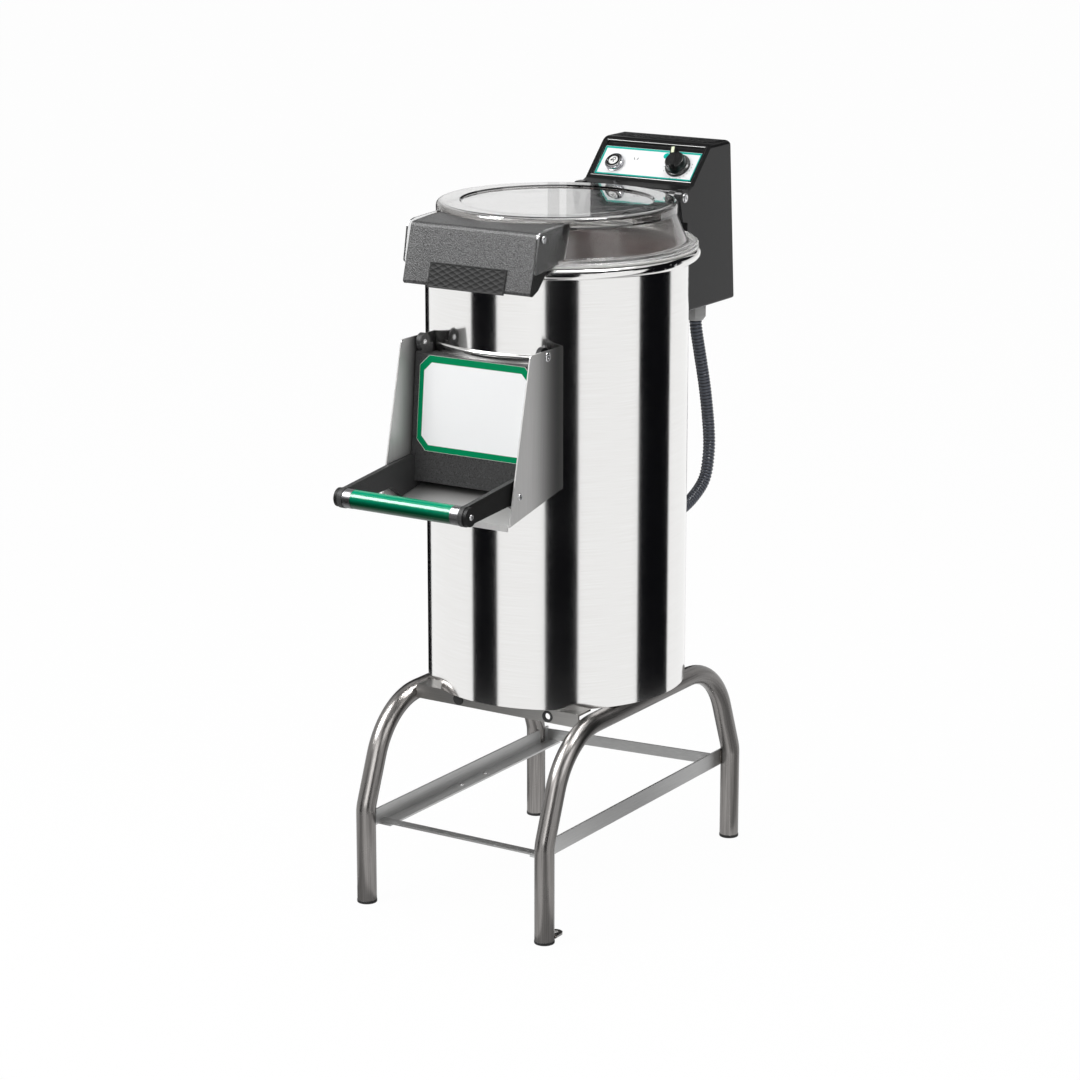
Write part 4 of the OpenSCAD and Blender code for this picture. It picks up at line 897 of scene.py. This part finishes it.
door_finish = moulded("door_moulding", (0.012, 0.012, 0.012), (0.070, 0.070, 0.071),
                      smooth=0.4, rough=0.55, size=850, depth=0.00012, shine=0.15)
# Painted shade: the arms' outer faces are turned black.
paint_side_shade(door_finish, arm_face_x)
dress(door_finish, "door_frame", rounded=0.0006)


# ---- Door liner and seal ----
# A curved sheet of satin stainless steel is fixed behind the door's panel and closes the
# drum's window on a black rubber seal.

dress(sheet_finish, "door_liner")
dress(rubber_finish, "door_gasket")


# ---- Door label ----
# A white printed film stuck to the panel, its corners cut off, with a green border that is
# widest along its top.

film_finish = moulded("white_film", (0.84, 0.845, 0.85), (0.86, 0.865, 0.87),
                      smooth=0.3, rough=0.38, size=1500, depth=0.000004, shine=0.15)
dress(film_finish, "door_label")

panel_lean = math.atan2(0.018, 0.188)
door_at = (Matrix.Translation((0, drum_axis.y - 0.236, 0.658))
           @ Matrix.Rotation(math.pi / 2 - panel_lean, 4, "X"))
label_half = 0.099
label_low, label_high = 0.046, 0.18786
label_t = 0.0008
label_cut = 0.016
inner_cut = 0.0128
print_t = 0.00005
side_border, low_border, top_border = 0.008, 0.009, 0.0105
bare_edge = 0.0003


def cut_corners(half, low, high, cut):
    """A rectangle with its corners cut off, as eight points."""
    return [(-half + cut, low), (half - cut, low), (half, low + cut), (half, high - cut),
            (half - cut, high), (-half + cut, high), (-half, high - cut), (-half, low + cut)]


def printed_border(shape, outer, inner, height, at):
    """Adds a thin layer of ink between two outlines on a face at a height."""
    loops = [(outer, height), (outer, height + print_t), (inner, height + print_t),
             (inner, height)]
    rings = [[shape.verts.new(at @ Vector((x, y, z))) for x, y in outline]
             for outline, z in loops]
    bridge(shape, rings + rings[:1])


green_ink = moulded("green_ink", (0.0, 0.20, 0.075), (0.0, 0.23, 0.09),
                    smooth=0.3, rough=0.38, size=1500, depth=0.000004, shine=0.05)
shape = bmesh.new()
printed_border(shape, cut_corners(label_half - bare_edge, label_low + bare_edge,
                                  label_high - bare_edge, label_cut),
               cut_corners(label_half - side_border, label_low + low_border,
                           label_high - top_border, inner_cut), label_t, door_at)
label_border = mesh_piece("door_label_border", shape, green_ink, smooth=False)
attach(label_border, "door")


# ---- Handle bar ----
# A dark plated tube between the arms with grooved collars at both ends, and a socket screw
# through each arm's boss. A gloss green plastic sleeve is pressed over its middle, its
# underside darkened with painted shade.

plated_finish = brushed_metal("dark_plate", (0.10, 0.10, 0.102), (0.22, 0.22, 0.225),
                              smooth=0.24, rough=0.34, stretch=(900, 30, 900))
dress(plated_finish, "handle_bar")


def height_on(tree):
    """The height of a place on the object."""
    apart = tree.nodes.new("ShaderNodeSeparateXYZ")
    feed(tree, object_place(tree), apart.inputs[0])
    return apart.outputs["Z"]


bar_y, bar_z = drum_axis.y - 0.407, 0.666
bar_r = 0.014
sleeve_half = 0.086
collar_end = 0.1
groove_at = 0.0042
core_r = 0.0099
core_in, core_out = 0.08, 0.1035
screw_x = 0.114
painted_shade_green, painted_light_green = (0.0, 0.040, 0.016), (0.0, 0.37, 0.19)
sleeve_finish, tree, shader = new_finish("green_sleeve")
skin = effect_at(tree, skin_group, object_place(tree), "Size", 260)
# Painted shade: the sleeve's green darkens towards its underside and is lightest on top.
painted_light_share = ranged(tree, height_on(tree), bar_z - bar_r * 0.2, bar_z + bar_r * 0.85,
                  kind="SMOOTHSTEP")
green = mixed(tree, painted_light_share, painted_shade_green, painted_light_green)
feed(tree, mixed(tree, 0.2, green, skin["Pebble"], "MULTIPLY"), shader.inputs["Base Color"])
feed(tree, ranged(tree, skin["Rub"], 0, 1, 0.3, 0.36), shader.inputs["Roughness"])
shader.inputs["Specular IOR Level"].default_value = 0.0
shader.inputs["Coat Weight"].default_value = 1
shader.inputs["Coat IOR"].default_value = 1.4
shader.inputs["Coat Roughness"].default_value = 0.12
along_x = Matrix.Translation((0, bar_y, bar_z)) @ Matrix.Rotation(math.pi / 2, 4, "Y")
shape = bmesh.new()
turned(shape, [(bar_r - 0.0015, -sleeve_half), (bar_r - 0.0006, -sleeve_half),
               (bar_r, -sleeve_half + 0.0006), (bar_r, sleeve_half - 0.0006),
               (bar_r - 0.0006, sleeve_half), (bar_r - 0.0015, sleeve_half),
               (bar_r - 0.0015, -sleeve_half)], along_x, 64)
close_up(shape)
green_sleeve = mesh_piece("green_grip_sleeve", shape, sleeve_finish)
crisp(green_sleeve)
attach(green_sleeve, "door")
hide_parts("handle_sleeve")

both_ends = [along_x @ Matrix.Rotation(turn, 4, "X") for turn in (math.pi, 0)]
collar_r, groove_r = bar_r + 0.0002, bar_r - 0.0006
shape = bmesh.new()
for at in both_ends:
    turned(shape, [(bar_r - 0.001, sleeve_half + 0.0003), (collar_r, sleeve_half + 0.0008),
                   (collar_r, collar_end - groove_at - 0.0013),
                   (groove_r, collar_end - groove_at - 0.0008),
                   (groove_r, collar_end - groove_at),
                   (collar_r, collar_end - groove_at + 0.0005),
                   (collar_r, collar_end - 0.0004), (bar_r - 0.001, collar_end)], at, 64)
bar_collars = mesh_piece("handle_collars", shape, plated_finish)
crisp(bar_collars)
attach(bar_collars, "door")

shape = bmesh.new()
screw_pair(shape, screw_x, bar_y, bar_z, head_r=0.0045, head_h=0.002, shaft_r=0.003,
           shaft_l=0.002)
for at in both_ends:
    turned(shape, [(0, core_in), (core_r, core_in), (core_r, core_out), (0, core_out)], at)
end_screws = mesh_piece("handle_socket_screws", shape, bolt_finish)
crisp(end_screws)
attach(end_screws, "door")
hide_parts("handle_end_screws")


# ---- Lid ----
# A clear moulded polycarbonate dome with a raised ring round its top, and two upright ears
# that hold the handle block. Its skin has faint flow marks and rub marks, its wall is duller
# than its top, and its shoulder is darkened grey with painted shade.

lid_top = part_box("lid")[1].z
disc_z = lid_top - 0.014
wall_z = disc_z - 0.02
shoulder_in, shoulder_out = 0.16, 0.2
painted_shoulder_tints = [(0, (1, 1, 1)), (0.25, (1, 1, 1)), (0.47, (0.56, 0.55, 0.54)),
               (0.8, (0.64, 0.62, 0.61)), (0.95, (0.95, 0.945, 0.94))]


def reach_of(tree, place):
    """How far a place lies from its Z axis."""
    level = worked_out(tree, "ShaderNodeVectorMath", "MULTIPLY", place, (1, 1, 0))[0]
    return worked_out(tree, "ShaderNodeVectorMath", "LENGTH", level)["Value"]


clear_finish, tree, shader = new_finish("clear_moulding")
skin = effect_at(tree, skin_group, object_place(tree), "Size", 26)
feed(tree, ranged(tree, height_on(tree), disc_z, wall_z, 0.03, 0.15), shader.inputs["Roughness"])
from_drum = worked_out(tree, "ShaderNodeVectorMath", "ADD", object_place(tree),
                       (0, -drum_axis.y, 0))[0]
# Painted shade: a grey ring darkens the lid's shoulder, where the moulding is thick.
shoulder_shade_ramp = tree.nodes.new("ShaderNodeValToRGB")
for spot, tint in painted_shoulder_tints:
    shoulder_shade_ramp.color_ramp.elements.new(spot).color = (*tint, 1)
shoulder_shade_ramp.color_ramp.elements.remove(shoulder_shade_ramp.color_ramp.elements[0])
feed(tree, ranged(tree, reach_of(tree, from_drum), shoulder_in, shoulder_out),
     shoulder_shade_ramp.inputs["Fac"])
clear = mixed(tree, skin["Rub"], (0.90, 0.905, 0.905), (0.96, 0.96, 0.96))
feed(tree, mixed(tree, 1, clear, shoulder_shade_ramp.outputs["Color"], "MULTIPLY"), shader.inputs["Base Color"])
shader.inputs["IOR"].default_value = 1.6
shader.inputs["Transmission Weight"].default_value = 1
raised(tree, shader, skin["Pebble"], strength=0.12, depth=0.0003)
dress(clear_finish, "lid", rounded=0.0007)
nodes["lid"].visible_shadow = False


# ---- Lid handle block ----
# A hollow moulding in dark grey plastic with a coarse pebbled skin and ends painted black
# as shade, screwed between the lid's ears.

block_end_x = 0.1095
block_finish = moulded("pebbled_grey", (0.003, 0.003, 0.003), (0.095, 0.095, 0.096),
                       smooth=0.34, rough=0.46, size=520, depth=0.0004, shine=0.25)
# Painted shade: the block's ends are turned black.
paint_side_shade(block_finish, block_end_x)
dress(block_finish, "lid_handle_block", rounded=0.0009)


# ---- Grip pad ----
# A black rubber pad let into the block's front for the hand, moulded with a lattice of
# slanting ribs inside a plain border.

pad_half = 0.066
pad_low, pad_high = 0.003, 0.04
pad_t = 0.0015
rib_h = 0.00045
rib_pitch = 0.0085
pad_step = 0.00075
pad_border = 0.0018
rib_slant = 0.5
block_lean = math.atan2(0.026, 0.092)
grip_at = (Matrix.Translation((0, drum_axis.y - 0.249, 0.949))
           @ Matrix.Rotation(math.pi / 2 - block_lean, 4, "X"))


def rib_height(x, y):
    """How far the pad's face stands up at a place on it."""
    inside = min(pad_half - abs(x), y - pad_low, pad_high - y) - pad_border
    if inside < 0:
        return 0
    one = abs(math.sin(math.pi * (x * rib_slant + y) / rib_pitch))
    other = abs(math.sin(math.pi * (x * rib_slant - y) / rib_pitch))
    return rib_h * (1 - (one * other) ** 0.5) - rib_h * 0.9


shape = bmesh.new()
columns = round(2 * pad_half / pad_step)
rows = round((pad_high - pad_low) / pad_step)
sheet = []
for row in range(rows + 1):
    y = pad_low + (pad_high - pad_low) * row / rows
    line = []
    for column in range(columns + 1):
        x = -pad_half + 2 * pad_half * column / columns
        line.append(shape.verts.new(grip_at @ Vector((x, y, pad_t + rib_height(x, y)))))
    sheet.append(line)
bridge(shape, sheet, around=False)
rim = (sheet[0] + [line[-1] for line in sheet[1:]] + sheet[-1][-2::-1]
       + [line[0] for line in sheet[-2:0:-1]])
foot = [shape.verts.new(grip_at @ Vector((*(grip_at.inverted() @ v.co).xy, 0))) for v in rim]
bridge(shape, [foot, rim])
shape.faces.new(foot[::-1])
pad_finish = moulded("grip_rubber", (0.006, 0.006, 0.006), (0.016, 0.016, 0.016),
                     smooth=0.42, rough=0.55, size=1500, depth=0.00005, shine=0.12)
rubber_pad = mesh_piece("ribbed_grip_pad", shape, pad_finish)
crisp(rubber_pad)
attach(rubber_pad, "lid")
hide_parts("grip_pad")


# ---- Ear screws ----
# Bright steel screws with button heads and hexagon sockets, one through each clear ear of
# the lid into the handle block.

ear_out_x = 0.1133
ear_y, ear_z = drum_axis.y - 0.215, 1.032
shape = bmesh.new()
screw_pair(shape, ear_out_x, ear_y, ear_z, head_r=0.0055, head_h=0.0022, shaft_r=0.003,
           shaft_l=0.011)
ear_screws = mesh_piece("ear_socket_screws", shape, bolt_finish)
crisp(ear_screws)
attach(ear_screws, "lid")
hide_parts("lid_ear_screws")


# ---- Lid hinge ----
# Black moulded ears bonded to the back of the lid turn on bright pins whose socket heads
# show on the control box's cheeks.

ear_finish = moulded("hinge_plastic", (0.008, 0.008, 0.008), (0.02, 0.02, 0.02),
                     smooth=0.3, rough=0.42, size=1000, depth=0.00006)
dress(ear_finish, "lid_hinge_ears", rounded=0.0005)
pin_head_x = 0.097
hinge_y, hinge_z = drum_axis.y + 0.213, 1.036
shape = bmesh.new()
screw_pair(shape, pin_head_x, hinge_y, hinge_z, head_r=0.0075, head_h=0.0025, shaft_r=0.004,
           shaft_l=0.029)
pins = mesh_piece("hinge_socket_pins", shape, bolt_finish)
crisp(pins)
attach(pins, "machine")
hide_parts("hinge_pins")


# ---- Control box ----
# A black moulded housing with a sloped face and two cheeks for the lid's hinge, closed at
# the back by a cover with four small screws, on a folded steel bracket.

box_finish = moulded("box_moulding", (0.006, 0.006, 0.0062), (0.014, 0.014, 0.0145),
                     smooth=0.2, rough=0.27, size=1200, depth=0.00003, shine=0.18)
dress(box_finish, "control_housing", rounded=0.0012)
dress(box_finish, "rear_cover", rounded=0.0005)
dress(sheet_finish, "box_bracket")

box_foot_z, box_back_y = 0.857, drum_axis.y + 0.371
cover_lean = 0.018 / 0.253
cover_screw_x = 0.085
cover_screw_rows = [0.872, 1.067]
shape = bmesh.new()
for x in (-cover_screw_x, cover_screw_x):
    for z in cover_screw_rows:
        skin_y = box_back_y - (z - box_foot_z) * cover_lean
        socket_screw(shape, (x, skin_y + 0.0002, z), (0, 1, 0), head_r=0.0035, head_h=0.0008,
                     shaft_r=0.0018, shaft_l=0.005, sides=30)
cover_screws = mesh_piece("cover_socket_screws", shape, bolt_finish)
crisp(cover_screws)
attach(cover_screws, "machine")
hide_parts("cover_screws")


# ---- Fascia ----
# A gloss black moulded bezel frames a white printed film with a teal border. Dots of ink
# mark the timer's scale, a teal spot marks its start, and two strokes lie by the button.

bezel_finish = moulded("gloss_bezel", (0.004, 0.004, 0.004), (0.008, 0.008, 0.008),
                       smooth=0.1, rough=0.18, size=900, depth=0.000006)
dress(bezel_finish, "fascia_bezel", rounded=0.0012)
dress(film_finish, "fascia_label")

fascia_at = (Matrix.Translation((0, drum_axis.y + 0.238, 1.05))
             @ Matrix.Rotation(math.radians(45.4), 4, "X"))
face_z = -0.0024
film_half = 0.0875
film_low, film_high = 0.0095, 0.06547
button_at = (-0.057, 0.03198)
knob_at = (0.054, 0.03698)
dot_r = 0.0007
dot_ring_r = 0.0238
dot_turns = [205, 185, 165, 15, 0, -15, -30, -45, -60, -75, -90, -105]
spot_at, spot_r = (0.0262, 0.0552), 0.0056
strokes = [(-0.028, 0.5), (-0.022, -0.3)]
stroke_y = 0.045
stroke_w, stroke_l = 0.0014, 0.0044
stroke_line = 0.0006
teal_ink = moulded("teal_ink", (0.0, 0.40, 0.325), (0.0, 0.44, 0.36),
                   smooth=0.3, rough=0.38, size=1500, depth=0.000004, shine=0.05)
grey_ink = moulded("grey_ink", (0.05, 0.05, 0.055), (0.08, 0.08, 0.085),
                   smooth=0.3, rough=0.38, size=1500, depth=0.000004, shine=0.05)


def ink_dot(shape, x, y, radius, at, sides=20):
    """Adds a round spot of ink on a face."""
    turned(shape, [(0, 0), (radius, 0), (radius, print_t), (0, print_t)],
           at @ Matrix.Translation((x, y, 0)), sides)


def rectangle(half, low, high):
    """The four corners of a rectangle."""
    return [(-half, low), (half, low), (half, high), (-half, high)]


side_teal, low_teal, top_teal = 0.0036, 0.0044, 0.004
bare_edge = 0.0004
shape = bmesh.new()
printed_border(shape, rectangle(film_half - bare_edge, film_low + bare_edge,
                                film_high - bare_edge),
               rectangle(film_half - side_teal, film_low + low_teal, film_high - top_teal),
               face_z, fascia_at)
film_at = fascia_at @ Matrix.Translation((0, 0, face_z))
ink_dot(shape, *spot_at, spot_r, film_at, 32)
teal_print = mesh_piece("fascia_border", shape, teal_ink, smooth=False)
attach(teal_print, "machine")

shape = bmesh.new()
for turn in dot_turns:
    ink_dot(shape, knob_at[0] + dot_ring_r * math.cos(math.radians(turn)),
            knob_at[1] + dot_ring_r * math.sin(math.radians(turn)), dot_r, film_at)
for x, turn in strokes:
    mark = film_at @ Matrix.Translation((x, stroke_y, 0)) @ Matrix.Rotation(turn, 4, "Z")
    printed_border(shape, rectangle(stroke_w / 2, -stroke_l / 2, stroke_l / 2),
                   rectangle(stroke_w / 2 - stroke_line, stroke_line - stroke_l / 2,
                             stroke_l / 2 - stroke_line), 0, mark)
scale_print = mesh_piece("timer_scale", shape, grey_ink, smooth=False)
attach(scale_print, "machine")


# ---- Start button ----
# A white push button in a turned, grooved collar of bright metal, with a black ring and a
# small mark printed on its face.

# Its outline is darkened with painted shade.
collar_metal = brushed_metal("turned_collar", (0.30, 0.30, 0.315), (0.52, 0.52, 0.54),
                             smooth=0.14, rough=0.24, stretch=(30, 1500, 1500), painted_edge_shade=0.3)
collar_at = film_at @ Matrix.Translation((*button_at, 0))
shape = bmesh.new()
turned(shape, [(0.0044, -0.0135), (0.0088, -0.0135), (0.0088, 0.00002), (0.0145, 0.00002),
               (0.015, 0.0005), (0.015, 0.0034), (0.0141, 0.0038), (0.0141, 0.0046),
               (0.0149, 0.005), (0.0149, 0.0077), (0.0136, 0.0089), (0.012, 0.009),
               (0.0114, 0.0086), (0.0114, 0.002), (0.0044, 0.002), (0.0044, -0.0135)],
       collar_at, 64)
close_up(shape)
bright_collar = mesh_piece("turned_button_collar", shape, collar_metal)
crisp(bright_collar)
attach(bright_collar, "machine")
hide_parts("button_collar")

button_finish = moulded("button_white", (0.74, 0.74, 0.73), (0.79, 0.79, 0.78),
                        smooth=0.2, rough=0.28, size=1500, depth=0.00001)
dress(button_finish, "start_button")
button_print = moulded("button_ink", (0.006, 0.006, 0.006), (0.012, 0.012, 0.012),
                       smooth=0.4, rough=0.5, size=1500, depth=0.000004, shine=0.05)
ring_z, crown_z = 0.01, 0.0108
ring_in, ring_out, ring_foot = 0.0077, 0.0111, 0.0098
mark_in, mark_out = 0.0018, 0.003
mark_ring_at = (0.0014, 0.002, 0)
mark_dots = [(-0.0026, -0.0004, 0.0017), (0.0018, -0.0028, 0.0012)]
shape = bmesh.new()
turned(shape, [(ring_in, ring_foot), (ring_out, ring_foot), (ring_out, ring_z + print_t),
               (ring_in, ring_z + print_t), (ring_in, ring_foot)], collar_at, 48)
close_up(shape)
crown_at = collar_at @ Matrix.Translation((0, 0, crown_z))
turned(shape, [(mark_in, 0), (mark_out, 0), (mark_out, print_t), (mark_in, print_t),
               (mark_in, 0)], crown_at @ Matrix.Translation(mark_ring_at), 24)
for x, y, radius in mark_dots:
    ink_dot(shape, x, y, radius, crown_at)
button_mark = mesh_piece("start_button_mark", shape, button_print)
crisp(button_mark)
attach(button_mark, "button")


# ---- Timer ----
# A black moulded knob with a skirt and a grip bar, a pale insert as its pointer, on the
# spring timer's shaft behind the fascia.

knob_finish = moulded("knob_moulding", (0.005, 0.005, 0.005), (0.010, 0.010, 0.010),
                      smooth=0.2, rough=0.3, size=1300, depth=0.00002)
dress(knob_finish, "timer_knob", rounded=0.0005)
pointer_finish = moulded("pale_insert", (0.62, 0.70, 0.46), (0.70, 0.77, 0.53),
                         smooth=0.4, rough=0.5, size=1200, depth=0.00002)
dress(pointer_finish, "knob_pointer")
timer_finish = moulded("timer_case", (0.55, 0.55, 0.52), (0.64, 0.64, 0.61),
                       smooth=0.4, rough=0.55, size=1000, depth=0.00005)
dress(timer_finish, "timer_body")


# ---- Contactor ----
# A dark moulded block with raised terminals that switches the motor, screwed to the inside
# of the box's front wall.

contactor_finish = moulded("contactor_case", (0.03, 0.03, 0.033), (0.06, 0.06, 0.064),
                           smooth=0.4, rough=0.55, size=1000, depth=0.00008)
dress(contactor_finish, "contactor")


# ---- Glands ----
# Two mid grey nylon glands hold the conduit: one screwed up into the box with a hexagon
# body, and a round one on the drum's skin.

gland_finish = moulded("grey_nylon", (0.27, 0.27, 0.27), (0.36, 0.36, 0.36),
                       smooth=0.3, rough=0.42, size=1000, depth=0.00006)
gland_x, gland_y = 0.06, drum_axis.y + 0.314
gland_across = 0.033
gland_sides = 48
wide = hexagon(gland_across, gland_sides)
inner = [radius * 0.95 for radius in wide]
shape = bmesh.new()
turned(shape, [(0.0102, -0.03), (0.0118, -0.03), (0.0128, -0.0295), (0.0134, -0.0285),
               (inner, -0.0235), (wide, -0.022), (wide, -0.0008), (inner, 0), (0.0095, 0),
               (0.0095, 0.008), (0.007, 0.008), (0.007, -0.001), (0.0102, -0.002),
               (0.0102, -0.03)],
       Matrix.Translation((gland_x, gland_y, box_foot_z)))
tail_z, tail_r, tail_bore = 0.524, 0.0135, 0.0102
tail_out, tail_round = 0.219, 0.0005
drum_r = 0.198
rings = []
for radius, out in ((tail_bore, 0), (tail_r, 0), (tail_r, tail_out - tail_round),
                    (tail_r - 0.0012, tail_out), (tail_bore, tail_out)):
    ring = []
    for step in range(gland_sides):
        turn = 2 * math.pi * step / gland_sides
        x = gland_x + radius * math.cos(turn)
        on_drum = math.sqrt(drum_r ** 2 - x ** 2) + 0.0002
        ring.append(shape.verts.new((x, drum_axis.y + (out or on_drum),
                                     tail_z + radius * math.sin(turn))))
    rings.append(ring)
bridge(shape, rings + rings[:1])
close_up(shape)
bmesh.ops.recalc_face_normals(shape, faces=shape.faces)
nylon_glands = mesh_piece("nylon_glands", shape, gland_finish)
crisp(nylon_glands)
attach(nylon_glands, "machine")
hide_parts("cable_glands")


# ---- Conduit ----
# A corrugated slate grey plastic conduit carries the wiring from the control box down to
# the drum. It leaves straight down, bows out behind the drum and turns back into it, and its
# grooves are darkened with painted shade.

conduit_r = 0.01
bow_x = 0.0025
groove_depth = 0.0017
groove_pitch = 0.0056
groove_shape = (0, 0.1, 0.5, 1, 0.5, 0.1)
line_steps = 1200
conduit_route = [(0.314, 0.835), (0.3145, 0.822), (0.317, 0.806), (0.327, 0.771),
                 (0.345, 0.708), (0.358, 0.640), (0.358, 0.598), (0.345, 0.562),
                 (0.308, 0.539), (0.262, 0.526), (0.225, 0.524), (0.205, 0.524)]
conduit_line = [Vector((gland_x + bow_x * math.sin(math.pi * i / (len(conduit_route) - 1)),
                        drum_axis.y + y, z)) for i, (y, z) in enumerate(conduit_route)]


def smooth_line(points, share):
    """A point at a share of the way along a smooth curve through the points."""
    last = len(points) - 1
    i = min(int(share * last), last - 1)
    t = share * last - i
    a, b, c, d = points[max(i - 1, 0)], points[i], points[i + 1], points[min(i + 2, last)]
    return 0.5 * (2 * b + (c - a) * t + (2 * a - 5 * b + 4 * c - d) * t ** 2
                  + (3 * b - a - 3 * c + d) * t ** 3)


fine_line = [smooth_line(conduit_line, i / line_steps) for i in range(line_steps + 1)]
conduit_l = sum((b - a).length for a, b in zip(fine_line, fine_line[1:]))
ring_count = len(groove_shape) * round(conduit_l / groove_pitch)
line, run, at = [fine_line[0]], 0, 1
for ring in range(1, ring_count):
    while run < conduit_l * ring / ring_count:
        run += (fine_line[at] - fine_line[at - 1]).length
        at += 1
    line.append(fine_line[at - 1])
line.append(fine_line[-1])
radii = [conduit_r - groove_depth * groove_shape[i % len(groove_shape)]
         for i in range(len(line))]
shape = bmesh.new()
swept(shape, line, radii, 24, capped=True)
slate_finish, tree, shader = new_finish("slate_conduit")
skin = effect_at(tree, skin_group, object_place(tree), "Size", 900)
# Painted shade: the grooves are coloured near black and the crests lighter.
painted_crest_light = ranged(tree, reach_of(tree, swept_place(tree)), conduit_r - groove_depth,
               conduit_r - groove_depth * 0.2)
feed(tree, mixed(tree, painted_crest_light, (0.004, 0.005, 0.007), (0.075, 0.083, 0.105)),
     shader.inputs["Base Color"])
feed(tree, ranged(tree, skin["Rub"], 0, 1, 0.16, 0.24), shader.inputs["Roughness"])
corrugated_conduit = mesh_piece("corrugated_conduit", shape, slate_finish)
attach(corrugated_conduit, "machine")
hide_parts("conduit")
